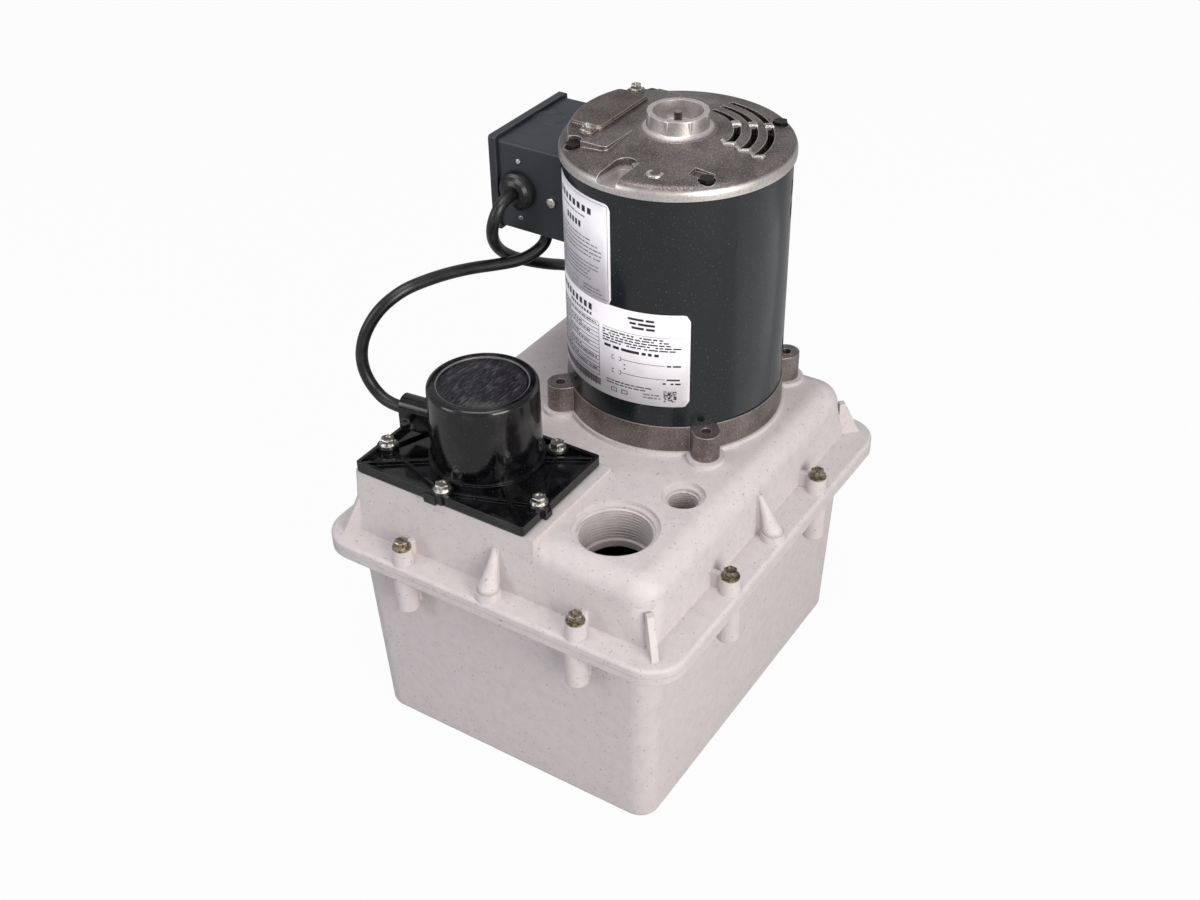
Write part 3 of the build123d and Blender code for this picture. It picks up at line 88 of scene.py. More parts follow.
shell_low, shell_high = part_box("motor_shell")
MOTOR_X, MOTOR_Y = middle("motor_shaft").x, middle("motor_shaft").y
SHELL_R = (shell_high.x - shell_low.x) / 2
CAP_X, CAP_Y = middle("float_ball").x, middle("float_ball").y
CAP_TOP = top_of("switch_cap")
BOX_TOP = top_of("box_body")
BELL_Z = 387.2 * MM             # top bell's face at its outer edge
DOME_Z = 393.0 * MM             # the same face at its hub
RIM_TOP = 155.6 * MM            # face of the lid's rim


def round_the_motor(radius, angle, z):
    """Point at a radius in metres and an angle in degrees about the motor's axis."""
    return Vector((MOTOR_X + radius * cos(radians(angle)), MOTOR_Y + radius * sin(radians(angle)), z))


# -------------------------------------------------------------------- colour
def linear(hex_colour):
    """Linear RGBA of an sRGB hex colour."""
    channels = [int(hex_colour[k:k + 2], 16) / 255 for k in (0, 2, 4)]
    return tuple(c / 12.92 if c <= 0.04045 else ((c + 0.055) / 1.055) ** 2.4 for c in channels) + (1.0,)


def per_mm(size):
    """Texture scale that gives features of about this many millimetres."""
    return 1 / (size * MM)


# ---------------------------------------------------------------- materials
def add(tree, kind, sockets=None, **settings):
    """Adds one node with its settings, its socket values and its links."""
    made = tree.nodes.new(kind)
    for name, value in settings.items():
        setattr(made, name, value)
    for socket, value in (sockets or {}).items():
        if isinstance(value, bpy.types.NodeSocket):
            tree.links.new(value, made.inputs[socket])
        else:
            made.inputs[socket].default_value = value
    return made


def cleared(owner):
    """Node tree of a material or a world, switched on and emptied."""
    owner.use_nodes = True
    owner.node_tree.nodes.clear()
    return owner.node_tree


def patches(tree, place, size, low, high, amount=1.0, detail=3.0):
    """Soft-edged patches about this many millimetres wide, as a share from 0 to an amount."""
    cloud = add(tree, "ShaderNodeTexNoise", {"Vector": place, "Scale": per_mm(size), "Detail": detail})
    return add(tree, "ShaderNodeMapRange", {"Value": cloud.outputs["Fac"], "From Min": low, "From Max": high,
                                            "To Max": amount}).outputs["Result"]


def stained(tree, place, under, over, size, low, high, amount=1.0, detail=3.0):
    """Colour broken by patches of another one."""
    share = patches(tree, place, size, low, high, amount, detail)
    return add(tree, "ShaderNodeMix", {0: share, 6: under, 7: over}, data_type="RGBA").outputs[2]


def uneven_gloss(tree, place, size, low, high, smooth, rough):
    """Roughness that drifts between two values, in patches about this many millimetres wide."""
    return add(tree, "ShaderNodeMapRange", {"Value": patches(tree, place, size, low, high), "To Min": smooth,
                                            "To Max": rough}).outputs["Result"]


def relief(tree, place, *layers, edge=None):
    """Uneven skin over rounded edges. A layer is a width, a height, both in millimetres, and a strength."""
    sockets = {}
    if edge is not None:
        sockets["Normal"] = add(tree, "ShaderNodeBevel", {"Radius": edge * MM}, samples=4).outputs["Normal"]
    for size, height, strength in layers:
        cloud = add(tree, "ShaderNodeTexNoise", {"Vector": place, "Scale": per_mm(size), "Detail": 2.0})
        sockets.update({"Height": cloud.outputs["Fac"], "Distance": height * MM, "Strength": strength})
        sockets["Normal"] = add(tree, "ShaderNodeBump", sockets).outputs["Normal"]
    return sockets["Normal"]


def edge_wear_and_highlight(tree, under, bright, radius, amount):
    """Colour that turns bright along edges, partly as wear and partly as a painted highlight on the edges."""
    rounded = add(tree, "ShaderNodeBevel", {"Radius": radius * MM}, samples=4).outputs["Normal"]
    true = add(tree, "ShaderNodeNewGeometry").outputs["Normal"]
    along = add(tree, "ShaderNodeVectorMath", {0: rounded, 1: true}, operation="DOT_PRODUCT").outputs["Value"]
    away = add(tree, "ShaderNodeMath", {0: 1.0, 1: along}, operation="SUBTRACT").outputs[0]
    share = add(tree, "ShaderNodeMapRange", {"Value": away, "From Min": 0.002, "From Max": 0.05,
                                             "To Max": amount}).outputs["Result"]
    return add(tree, "ShaderNodeMix", {0: share, 6: under, 7: bright}, data_type="RGBA").outputs[2]


def foam_moulded_polyolefin(tree, place, colour, dust):
    """Structural foam moulding: matt and slightly grainy, with grey dust in its pores."""
    tone = stained(tree, place, colour, linear("B4AEB0"), 7, 0.42, 0.72, 0.35, 5.0)
    tone = stained(tree, place, tone, linear(dust), 1.3, 0.62, 0.72, 0.30)
    tone = stained(tree, place, tone, linear("6E6A6A"), 2.0, 0.70, 0.73, 0.5, 1.0)
    normal = relief(tree, place, (1.1, 0.05, 0.8), (16, 0.22, 0.5), edge=0.9)
    rough = uneven_gloss(tree, place, 9, 0.35, 0.65, 0.5, 0.62)
    return add(tree, "ShaderNodeBsdfPrincipled", {"Base Color": tone, "Roughness": rough, "Normal": normal,
                                                  "IOR": 1.49, "Specular IOR Level": 0.4})


def baked_enamel(tree, place, colour, shade):
    """Baked enamel on rolled steel: deep gloss with a faint orange peel and a few dust specks."""
    tone = stained(tree, place, colour, linear(shade), 60, 0.3, 0.7)
    tone = stained(tree, place, tone, linear("64706F"), 0.9, 0.70, 0.73, 0.45, 1.0)
    normal = relief(tree, place, (2.6, 0.02, 0.45), (45, 0.5, 0.35), edge=0.35)
    rough = uneven_gloss(tree, place, 30, 0.3, 0.7, 0.17, 0.25)
    return add(tree, "ShaderNodeBsdfPrincipled", {"Base Color": tone, "Roughness": rough, "Normal": normal,
                                                  "IOR": 1.5})


def rim_highlight_and_hub_share(tree, place):
    """Share of bright colour on the end bell: a painted highlight band on its round edge, and its hub ring.
    """
    height = add(tree, "ShaderNodeSeparateXYZ", {"Vector": place}).outputs["Z"]
    edge = add(tree, "ShaderNodeMapRange", {"Value": height, "From Min": BELL_Z - 1.2 * MM,
                                            "From Max": BELL_Z - 3.0 * MM}).outputs["Result"]
    flat = add(tree, "ShaderNodeVectorMath", {0: place, 1: (1, 1, 0)}, operation="MULTIPLY").outputs["Vector"]
    reach = add(tree, "ShaderNodeVectorMath", {0: flat, 1: (MOTOR_X, MOTOR_Y, 0)},
                operation="DISTANCE").outputs["Value"]
    hub = add(tree, "ShaderNodeMapRange", {"Value": reach, "From Min": 23.0 * MM,
                                           "From Max": 21.0 * MM}).outputs["Result"]
    return add(tree, "ShaderNodeMath", {0: edge, 1: hub}, operation="MAXIMUM").outputs[0]


def die_cast_aluminium(tree, place, colour, dark, bright, rim_highlight):
    """Die-cast aluminium: sandy grey skin, stained in patches, painted bright on its edges as wear and as a
    highlight.
    """
    tone = stained(tree, place, colour, linear(dark), 20, 0.36, 0.66, 1.0, 5.0)
    tone = stained(tree, place, tone, linear(bright), 0.9, 0.5, 0.72, 0.4)
    if rim_highlight:
        # painted highlight: the top bell's round edge is coloured bright as a highlight band, and the hub
        # ring gets the same bright colour
        tone = add(tree, "ShaderNodeMix", {0: rim_highlight_and_hub_share(tree, place), 6: tone, 7: linear("CFC9C7")},
                   data_type="RGBA").outputs[2]
        tone = stained(tree, place, tone, linear(dark), 1.2, 0.52, 0.7, 0.35)
    # edges painted bright: partly wear, partly a painted highlight
    tone = edge_wear_and_highlight(tree, tone, linear(bright), 0.9, 0.85)
    normal = relief(tree, place, (0.9, 0.1, 0.85), edge=0.5)
    rough = uneven_gloss(tree, place, 14, 0.35, 0.68, 0.34, 0.5)
    return add(tree, "ShaderNodeBsdfPrincipled", {"Base Color": tone, "Metallic": 0.85, "Roughness": rough,
                                                  "Normal": normal})


def zinc_plated_steel(tree, place, colour, stain):
    """Zinc plating: bright and slightly mottled, with dull spots where it has aged."""
    tone = stained(tree, place, colour, linear(stain), 2.2, 0.42, 0.66)
    normal = relief(tree, place, (0.5, 0.015, 0.6), edge=0.25)
    return add(tree, "ShaderNodeBsdfPrincipled", {"Base Color": tone, "Metallic": 1.0, "Roughness": 0.3,
                                                  "Normal": normal})


def black_oxide_steel(tree, place, colour):
    """Oiled black oxide: dark, half matt, painted a little lighter on the edges as wear and as a highlight.
    """
    # edges painted lighter: partly wear, partly a painted highlight
    tone = edge_wear_and_highlight(tree, colour, linear("6C6662"), 0.3, 0.4)
    normal = relief(tree, place, (0.6, 0.02, 0.7))
    return add(tree, "ShaderNodeBsdfPrincipled", {"Base Color": tone, "Metallic": 0.7, "Roughness": 0.42,
                                                  "Normal": normal})


def polished_abs(tree, place, colour, dust):
    """Polished black ABS: deep gloss, with pale dust specks and a thin film of handling."""
    tone = stained(tree, place, colour, linear(dust), 14, 0.5, 0.8, 0.06)
    tone = stained(tree, place, tone, linear(dust), 0.8, 0.68, 0.74, 0.3, 2.0)
    normal = relief(tree, place, (30, 0.2, 0.3), edge=0.5)
    rough = uneven_gloss(tree, place, 10, 0.4, 0.7, 0.1, 0.2)
    return add(tree, "ShaderNodeBsdfPrincipled", {"Base Color": tone, "Roughness": rough, "Normal": normal,
                                                  "IOR": 1.5})


def scuffed_abs(tree, place, colour, scuff):
    """ABS worn matt: slanting scuffs a few millimetres long over dark plastic."""
    along = add(tree, "ShaderNodeMapping", {"Vector": place, "Rotation": (0, 0, radians(-28)),
                                            "Scale": (1.0, 0.16, 1.0)}).outputs["Vector"]
    tone = stained(tree, along, colour, linear(scuff), 1.0, 0.5, 0.66, 0.6)
    tone = stained(tree, place, tone, linear("8B8890"), 0.8, 0.66, 0.74, 0.5, 2.0)
    normal = relief(tree, along, (1.2, 0.05, 0.8))
    rough = uneven_gloss(tree, along, 2.2, 0.35, 0.7, 0.26, 0.5)
    return add(tree, "ShaderNodeBsdfPrincipled", {"Base Color": tone, "Roughness": rough, "Normal": normal,
                                                  "IOR": 1.5, "Specular IOR Level": 0.3})


def painted_sheet(tree, place, colour, shade):
    """Powder coat on folded sheet: fine grain, and folds painted lighter, as a thinner coat and as a painted
    highlight.
    """
    tone = stained(tree, place, colour, linear(shade), 26, 0.3, 0.7)
    tone = stained(tree, place, tone, linear("74777D"), 1.0, 0.66, 0.74, 0.35, 2.0)
    # folds painted lighter: partly a thinner coat, partly a painted highlight
    tone = edge_wear_and_highlight(tree, tone, linear("8A8D92"), 0.7, 0.3)
    normal = relief(tree, place, (0.9, 0.03, 0.6), edge=0.8)
    return add(tree, "ShaderNodeBsdfPrincipled", {"Base Color": tone, "Roughness": 0.42, "Normal": normal,
                                                  "IOR": 1.5})


def moulded_black(tree, place, colour, rough, grain):
    """Moulded nylon, PVC or rubber: black with a fine grain and greyer rubs."""
    tone = stained(tree, place, colour, linear("3A3A3B"), 9, 0.4, 0.7, 0.25)
    normal = relief(tree, place, (grain, 0.03, 0.6))
    return add(tree, "ShaderNodeBsdfPrincipled", {"Base Color": tone, "Roughness": rough, "Normal": normal,
                                                  "IOR": 1.5})


def turned_metal(tree, place, colour, rough):
    """Turned or drawn metal inside the machine: fine rings round Z."""
    tone = stained(tree, place, colour, linear("5A5652"), 8, 0.3, 0.7, 0.5)
    rings = add(tree, "ShaderNodeTexWave", {"Vector": place, "Scale": per_mm(2.2), "Distortion": 2.0},
                bands_direction="Z").outputs["Fac"]
    normal = add(tree, "ShaderNodeBump", {"Height": rings, "Distance": 0.01 * MM,
                                          "Strength": 0.5}).outputs["Normal"]
    return add(tree, "ShaderNodeBsdfPrincipled", {"Base Color": tone, "Metallic": 1.0, "Roughness": rough,
                                                  "Normal": normal})


def plain_moulding(tree, place, colour, shade):
    """Injection moulded part inside the tank or the cap: satin, with faint flow marks."""
    tone = stained(tree, place, colour, linear(shade), 12, 0.3, 0.7)
    normal = relief(tree, place, (1.2, 0.04, 0.6))
    return add(tree, "ShaderNodeBsdfPrincipled", {"Base Color": tone, "Roughness": 0.42, "Normal": normal,
                                                  "IOR": 1.49})


def label_vinyl(tree, place, colour):
    """Printed vinyl label stock: satin white with a trace of handling."""
    tone = stained(tree, place, colour, linear("C9C7CC"), 16, 0.5, 0.75, 0.35, 4.0)
    normal = relief(tree, place, (7, 0.04, 0.5))
    return add(tree, "ShaderNodeBsdfPrincipled", {"Base Color": tone, "Roughness": 0.36, "Normal": normal,
                                                  "IOR": 1.48})


def printing_ink(tree, place, colour):
    """Screen ink on the labels: dense, with slightly ragged edges and thin spots."""
    tone = stained(tree, place, colour, linear("9A989C"), 0.8, 0.55, 0.8, 0.35)
    return add(tree, "ShaderNodeBsdfPrincipled", {"Base Color": tone, "Roughness": 0.45, "IOR": 1.48})


# Each finish: how it is made, its colour where PumpColours does not hold it, and its other values.
finish_table = {
    "tank_foam": (foam_moulded_polyolefin, None, "8E8B8B"),
    "lid_foam": (foam_moulded_polyolefin, None, "8F8B8A"),
    # painted shade: darker colour for the thread's root, standing in for shade in the grooves
    "thread_dirt": (foam_moulded_polyolefin, "7F7A79", "5F5B5A"),
    "motor_enamel": (baked_enamel, None, "12171A"),
    "bell_casting": (die_cast_aluminium, None, "544C4A", "DEDAD8", True),
    "bell_ridges": (die_cast_aluminium, "C4BFBD", "8A8482", "F0EDEB", False),
    "cover_casting": (die_cast_aluminium, None, "50443C", "C4BBB4", False),
    "base_casting": (die_cast_aluminium, None, "655B57", "CFC8C4", False),
    "lid_screw_zinc": (zinc_plated_steel, "A89E8D", "5C5244"),
    "bright_zinc": (zinc_plated_steel, "DAD9D4", "77756F"),
    "stud_oxide": (black_oxide_steel, "231D1B"),
    "switch_abs": (polished_abs, None, "9A989E"),
    "cap_disc_abs": (scuffed_abs, "0D0B10", "56535B"),
    # painted highlight: grey bead colour standing in for the light caught by the dish's edge
    "cap_bead_abs": (moulded_black, "6B6870", 0.28, 1.0),
    "box_coat": (painted_sheet, None, "22262B"),
    "gland_nylon": (moulded_black, "09090A", 0.3, 1.0),
    "cord_jacket": (moulded_black, "0B0B0C", 0.36, 1.4),
    "gasket_rubber": (moulded_black, "141414", 0.75, 0.7),
    "seal_rubber": (moulded_black, "101010", 0.7, 0.7),
    "ground_steel": (turned_metal, "B9B8B6", 0.25),
    "yellow_brass": (turned_metal, "C9A45A", 0.3),
    "laminated_steel": (turned_metal, "6F6E70", 0.5),
    "enamelled_copper": (turned_metal, "9A4F26", 0.35),
    "rotor_casting": (turned_metal, "8F8F91", 0.45),
    "pump_nylon": (plain_moulding, "232427", "1B1C1E"),
    "pipe_pvc": (plain_moulding, "A9A9AB", "9C9C9E"),
    "float_polymer": (plain_moulding, "CFC8B0", "C2BBA4"),
    "switch_phenolic": (plain_moulding, "5B1D15", "4A1710"),
    "label_vinyl": (label_vinyl, None),
    "label_ink": (printing_ink, None),
    "label_grey": (printing_ink, "6A6870"),
}


def finish(name):
    """Material of a finish, made the first time it is asked for."""
    material = bpy.data.materials.get(name)
    if material is None:
        maker, colour, *values = finish_table[name]
        if colour is None:
            colour = tuple(getattr(bpy.context.scene.pump_colours, name)) + (1.0,)
        else:
            colour = linear(colour)
        material = bpy.data.materials.new(name)
        tree = cleared(material)
        place = add(tree, "ShaderNodeTexCoord").outputs["Object"]
        shader = maker(tree, place, colour, *values)
        add(tree, "ShaderNodeOutputMaterial", {"Surface": shader.outputs["BSDF"]})
    return material


node_finishes = {
    "tank": "tank_foam", "lid": "lid_foam", "lid_screws": "lid_screw_zinc", "tank_gasket": "gasket_rubber",
    "motor_base_bell": "base_casting", "motor_top_bell": "bell_casting", "motor_shell": "motor_enamel",
    "motor_through_bolts": "stud_oxide", "motor_mount_bolts": "lid_screw_zinc",
    "terminal_cover": "cover_casting", "terminal_cover_screws": "bright_zinc",
    "stator_core": "laminated_steel", "stator_windings": "enamelled_copper", "rotor": "rotor_casting",
    "motor_shaft": "ground_steel", "cooling_fan": "pump_nylon", "lower_bearing": "ground_steel",
    "upper_bearing": "ground_steel", "pump_column": "pump_nylon", "column_screws": "bright_zinc",
    "shaft_bushing": "yellow_brass", "shaft_seal": "seal_rubber", "volute": "pump_nylon",
    "volute_screws": "bright_zinc", "impeller": "pump_nylon", "impeller_nut": "yellow_brass",
    "strainer": "pump_nylon", "discharge_pipe": "pipe_pvc", "switch_gasket": "gasket_rubber",
    "switch_plate": "switch_abs", "switch_screws": "bright_zinc", "switch_cap": "switch_abs",
    "float_ball": "float_polymer", "float_rod": "yellow_brass", "float_nuts": "yellow_brass",
    "switch_lever": "bright_zinc", "lever_pin": "ground_steel", "switch_bracket": "bright_zinc",
    "micro_switch": "switch_phenolic", "box_body": "box_coat", "box_cover": "box_coat",
    "box_screws": "bright_zinc", "power_gland": "gland_nylon", "power_gland_nut": "bright_zinc",
    "box_bushing": "gland_nylon", "plug": "cord_jacket", "plug_pins": "yellow_brass",
    "power_cord": "cord_jacket", "power_cord_coil": "cord_jacket", "power_cord_tail": "cord_jacket",
    "switch_cable": "cord_jacket",
}


# ------------------------------------------------------------------- pieces
def add_object(name, data):
    """Puts mesh, curve, lamp or camera data into the scene."""
    made = bpy.data.objects.new(name, data)
    bpy.context.scene.collection.objects.link(made)
    return made


def piece(name, bm, look, smooth=True):
    """Turns mesh data into a piece that rides on the main body."""
    mesh = bpy.data.meshes.new(name)
    bm.normal_update()
    bm.to_mesh(mesh)
    bm.free()
    for face in mesh.polygons:
        face.use_smooth = smooth
    made = add_object(name, mesh)
    mesh.materials.append(finish(look))
    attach(made, MAIN_BODY)
    return made


def ring_strip(bm, rings, closed_rings=True, closed_ends=False):
    """Faces between lists of points that follow each other."""
    made = [[bm.verts.new(point) for point in ring] for ring in rings]
    for low, high in zip(made, made[1:]):
        count = len(low)
        for k in range(count if closed_rings else count - 1):
            bm.faces.new((low[k], low[(k + 1) % count], high[(k + 1) % count], high[k]))
    if closed_ends:
        bm.faces.new(list(reversed(made[0])))
        bm.faces.new(made[-1])


def circle(x, y, radius, z, steps):
    """Points of a level circle."""
    turns = [2 * pi * k / steps for k in range(steps)]
    return [(x + radius * cos(turn), y + radius * sin(turn), z) for turn in turns]


def turned_form(bm, centre, profile, steps=64):
    """Surface of revolution about an upright axis from (radius, height) pairs."""
    ring_strip(bm, [circle(*centre, radius, z, steps) for radius, z in profile])


def bead_section(radius, z, half_width, height, steps):
    """Half-round (radius, height) pairs of a bead that stands on a flat face."""
    turns = [pi * k / steps for k in range(steps + 1)]
    return [(radius + half_width * cos(turn), z + height * sin(turn)) for turn in turns]


# -------------------------------------------------------------------- cords
CORD_D = 8 * MM
power_route = [(-76.6, 8.0, 344.0), (-76.6, 0.5, 344.0), (-77.5, -7.5, 338.5), (-81.0, -9.0, 326.5),
               (-87.0, -0.5, 312.0), (-91.0, 11.7, 298.5), (-91.2, 25.7, 287.1), (-88.0, 40.5, 278.0),
               (-84.5, 57.0, 269.0), (-84.5, 76.0, 259.5), (-88.5, 95.0, 247.0), (-91.5, 114.0, 231.0),
               (-91.0, 132.0, 211.0), (-87.0, 148.0, 185.0), (-81.0, 160.0, 153.0), (-76.0, 167.0, 116.0),
               (-73.0, 171.0, 77.0), (-73.3, 174.0, 46.0), (-75.5, 178.5, 29.5), (-79.2, 187.0, 16.0),
               (-83.6, 199.0, 7.4), (-86.1, 212.5, 4.1), (-86.25, 226.0, 4.0)]
switch_route = [(-99.775, -87.573, 228.5), (-111.7, -88.82, 228.5), (-124.0, -88.0, 235.0),
                (-130.5, -88.5, 247.0), (-131.5, -88.0, 261.0), (-128.0, -85.0, 276.0),
                (-120.5, -78.0, 291.0), (-112.0, -65.0, 300.0), (-106.5, -50.0, 301.0),
                (-100.5, -32.0, 300.0), (-93.5, -14.0, 297.5), (-85.5, 2.0, 294.5),
                (-77.5, 15.5, 293.5), (-72.0, 26.0, 296.5), (-68.0, 33.0, 303.0), (-68.0, 33.0, 311.0)]
tail_route = [(-30.0, 280.0, 20.0), (-16.5, 278.0, 19.5), (-2.0, 271.5, 18.0), (11.0, 261.0, 15.0),
              (21.5, 247.0, 12.0), (28.5, 231.0, 10.0), (31.0, 216.0, 10.0)]
COIL_CENTRE = (-38.0, 232.0)
COIL_OUTER = 48.25              # radius of the outer column of turns
COIL_INNER = 39.75
COIL_LAYERS = (4.0, 12.0, 20.0)


def ease(value):
    value = min(1.0, max(0.0, value))
    return value * value * (3 - 2 * value)


def coil_turns():
    """Points of the put-away turns, wound clockwise from the left side up to the top layer."""
    ramp = 45.0                     # degrees in which the cord changes its place
    turn = 360.0 - ramp
    changes = [(turn, COIL_OUTER, COIL_INNER, 0, 0), (2 * turn, COIL_INNER, COIL_INNER, 0, 1),
               (3 * turn, COIL_INNER, COIL_OUTER, 1, 1), (4 * turn, COIL_OUTER, COIL_OUTER, 1, 2)]
    points = []
    turns, steps_per_turn = 4.25, 20
    total = 360.0 * turns
    count = int(turns * steps_per_turn)
    for k in range(1, count):
        turned = total * k / count
        radius, z = COIL_OUTER, COIL_LAYERS[0]
        for start, r_from, r_to, low, high in changes:
            share = ease((turned - start) / ramp)
            if turned > start:
                radius = r_from + (r_to - r_from) * share
                z = COIL_LAYERS[low] + (COIL_LAYERS[high] - COIL_LAYERS[low]) * share
        angle = radians(180.0 - turned)
        points.append((COIL_CENTRE[0] + radius * cos(angle), COIL_CENTRE[1] + radius * sin(angle), z))
    return points


def nurbs_line(name, points):
    """Curve with a route's points, in millimetres, as its control points."""
    curve = bpy.data.curves.new(name, "CURVE")
    curve.dimensions = "3D"
    spline = curve.splines.new("NURBS")
    spline.points.add(len(points) - 1)
    for point, (x, y, z) in zip(spline.points, points):
        point.co = (x * MM, y * MM, z * MM, 1.0)
    spline.order_u = 3
    spline.use_endpoint_u = True
    return curve, spline


def smooth_cord(name, points):
    """Round cord along a route's points."""
    curve, spline = nurbs_line(name, points)
    curve.bevel_depth = CORD_D / 2
    curve.bevel_resolution = 6
    curve.use_fill_caps = True
    spline.resolution_u = 6
    curve.materials.append(finish("cord_jacket"))
    made = add_object(name, curve)
    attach(made, MAIN_BODY)
    return made


def line_length(points):
    """Length in metres of the line that a cord follows."""
    curve, spline = nurbs_line("measure", points)
    length = spline.calc_length()
    bpy.data.curves.remove(curve)
    return length


# ------------------------------------------------------------------- sizes
class PumpStage(bpy.types.PropertyGroup):
    lens: FloatProperty(name="Lens", description="Focal length on a 36 mm wide sensor", default=45.956,
                        min=10, unit="CAMERA")
    heading: FloatProperty(name="Heading", description="Direction of the camera about the vertical",
                           default=radians(33.36), subtype="ANGLE")
    tilt: FloatProperty(name="Tilt", description="How far the camera looks down",
                        default=radians(35.75), subtype="ANGLE")
    roll: FloatProperty(name="Roll", description="Turn of the camera about its own line of sight",
                        default=radians(-1.22), subtype="ANGLE")
    place: FloatVectorProperty(name="Place", description="Where the camera stands",
                               default=(0.4518, -0.6991, 0.7781), subtype="TRANSLATION", unit="LENGTH")
    paper: FloatVectorProperty(name="Paper", description="Colour of the floor sheet",
                               default=(0.5, 0.5, 0.5), size=3, subtype="COLOR", min=0, max=1)


def colour_property(name, hex_colour, description):
    return FloatVectorProperty(name=name, description=description, default=linear(hex_colour)[:3], size=3,
                               subtype="COLOR", min=0, max=1)


class PumpColours(bpy.types.PropertyGroup):
    tank_foam: colour_property("Tank", "C9C2C3", "Grey of the moulded tank")
    lid_foam: colour_property("Lid", "CCC5C5", "Grey of the moulded lid")
    motor_enamel: colour_property("Motor shell", "171C20", "Enamel on the motor's shell")
    bell_casting: colour_property("Top bell", "7B7370", "Cast skin of the motor's top bell")
    cover_casting: colour_property("Terminal cover", "6F635B", "Cast cover over the motor's terminals")
    base_casting: colour_property("Base bell", "857B78", "Cast skin of the motor's base")
    switch_abs: colour_property("Switch", "070709", "Polished plastic of the float switch")
    box_coat: colour_property("Junction box", "2A2D33", "Powder coat on the junction box")
    label_vinyl: colour_property("Label", "F2F0F5", "Label stock")
    label_ink: colour_property("Print", "242228", "Print on the labels")


class PumpThreads(bpy.types.PropertyGroup):
    depth: FloatProperty(name="Depth", description="Height of the thread's ridge", default=1.3 * MM,
                         unit="LENGTH")
    steps: IntProperty(name="Steps", description="Facets in one turn of thread", default=96, min=24)


class PumpLabels(bpy.types.PropertyGroup):
    lift: FloatProperty(name="Lift", description="Label face above the enamel", default=0.22 * MM,
                        unit="LENGTH")
    ink: FloatProperty(name="Ink", description="Print above the label face", default=0.06 * MM,
                       unit="LENGTH")
    corner: FloatProperty(name="Corner", description="Corner radius of a label", default=4.5 * MM,
                          unit="LENGTH")
    seed: IntProperty(name="Seed", description="Start of the random draw for the printed lines", default=7)


# -------------------------------------------------------------------- stage
class PUMP_OT_stage(bpy.types.Operator):
    """Camera, floor, lamps and world of a plain studio"""
    bl_idname = "pump.stage"
    bl_label = "Studio"

    def execute(self, context):
        sizes = context.scene.pump_stage
        lens = bpy.data.cameras.new("studio_camera")
        lens.sensor_width = 36
        lens.lens = sizes.lens
        camera = add_object("studio_camera", lens)
        camera.matrix_world = (Matrix.Translation(sizes.place) @ Matrix.Rotation(sizes.heading, 4, "Z")
                               @ Matrix.Rotation(pi / 2 - sizes.tilt, 4, "X")
                               @ Matrix.Rotation(sizes.roll, 4, "Z"))
        context.scene.camera = camera
        self.floor(sizes)
        self.lamps()
        self.sky(context)
        context.scene.view_settings.view_transform = "Standard"
        return {"FINISHED"}

    def seen_white(self, tree, direct, mirrored):
        """Share of plain white: one value for the camera, one for gloss and through glass."""
        path = add(tree, "ShaderNodeLightPath")
        shares = []
        for ray, share in (("Is Camera Ray", direct), ("Is Glossy Ray", mirrored),
                           ("Is Transmission Ray", mirrored)):
            shares.append(add(tree, "ShaderNodeMath", {0: path.outputs[ray], 1: share},
                              operation="MULTIPLY").outputs[0])
        either = add(tree, "ShaderNodeMath", {0: shares[0], 1: shares[1]}, operation="MAXIMUM").outputs[0]
        return add(tree, "ShaderNodeMath", {0: either, 1: shares[2]}, operation="MAXIMUM").outputs[0]

    def floor(self, sizes):
        """Pale paper on the floor, and a white card on it at the right that gloss picks up."""
        for name, half, place, mirrored in (("floor", 6.0, (0.0, 0.0, -0.0008), MIRRORED_FLOOR),
                                            ("card", 0.3, (0.62, 0.36, -0.0004), 1.0)):
            bm = bmesh.new()
            bmesh.ops.create_grid(bm, x_segments=2, y_segments=2, size=half)
            mesh = bpy.data.meshes.new(name)
            bm.to_mesh(mesh)
            bm.free()
            mesh.materials.append(self.paper(name, sizes, mirrored))
            sheet = add_object(name, mesh)
            sheet.location = place

    def paper(self, name, sizes, mirrored):
        material = bpy.data.materials.new("studio_paper_" + name)
        tree = cleared(material)
        matt = add(tree, "ShaderNodeBsdfDiffuse", {"Color": tuple(sizes.paper) + (1.0,)})
        white = add(tree, "ShaderNodeEmission", {"Strength": 1.0})
        both = add(tree, "ShaderNodeMixShader", {0: self.seen_white(tree, SEEN_FLOOR, mirrored),
                                                 1: matt.outputs[0], 2: white.outputs[0]})
        add(tree, "ShaderNodeOutputMaterial", {"Surface": both.outputs[0]})
        return material

    def lamps(self):
        """Large soft boxes: the key at the right, a fill at the left front, one above."""
        boxes = (("right_box", (1.5, -0.7, 0.75), (0.9, 1.1), 25.0, (1.0, 0.97, 0.92)),
                 ("left_box", (-1.1, -1.5, 0.9), (0.7, 1.1), 9.5, (0.96, 0.95, 1.0)),
                 ("top_box", (0.05, -0.3, 1.9), (1.3, 1.1), 14.5, (1.0, 0.98, 0.98)))
        target = Vector((0.0, 0.0, 0.2))
        for name, place, size, power, colour in boxes:
            lamp = bpy.data.lights.new(name, "AREA")
            lamp.shape = "RECTANGLE"
            lamp.size, lamp.size_y = size
            lamp.energy = power
            lamp.color = colour
            made = add_object(name, lamp)
            made.location = place
            made.rotation_euler = (target - Vector(place)).to_track_quat("-Z", "Y").to_euler()

    def sky(self, context):
        """Even grey room for the object; the camera sees it white, gloss in part."""
        world = bpy.data.worlds.new("studio")
        tree = cleared(world)
        white = self.seen_white(tree, 1.0, MIRRORED_SKY)
        room = add(tree, "ShaderNodeBackground", {"Color": (0.95, 0.95, 1.0, 1), "Strength": 0.33})
        paper = add(tree, "ShaderNodeBackground", {"Color": (1, 1, 1, 1), "Strength": 1.0})
        both = add(tree, "ShaderNodeMixShader", {0: white, 1: room.outputs[0], 2: paper.outputs[0]})
        add(tree, "ShaderNodeOutputWorld", {"Surface": both.outputs[0]})
        context.scene.world = world


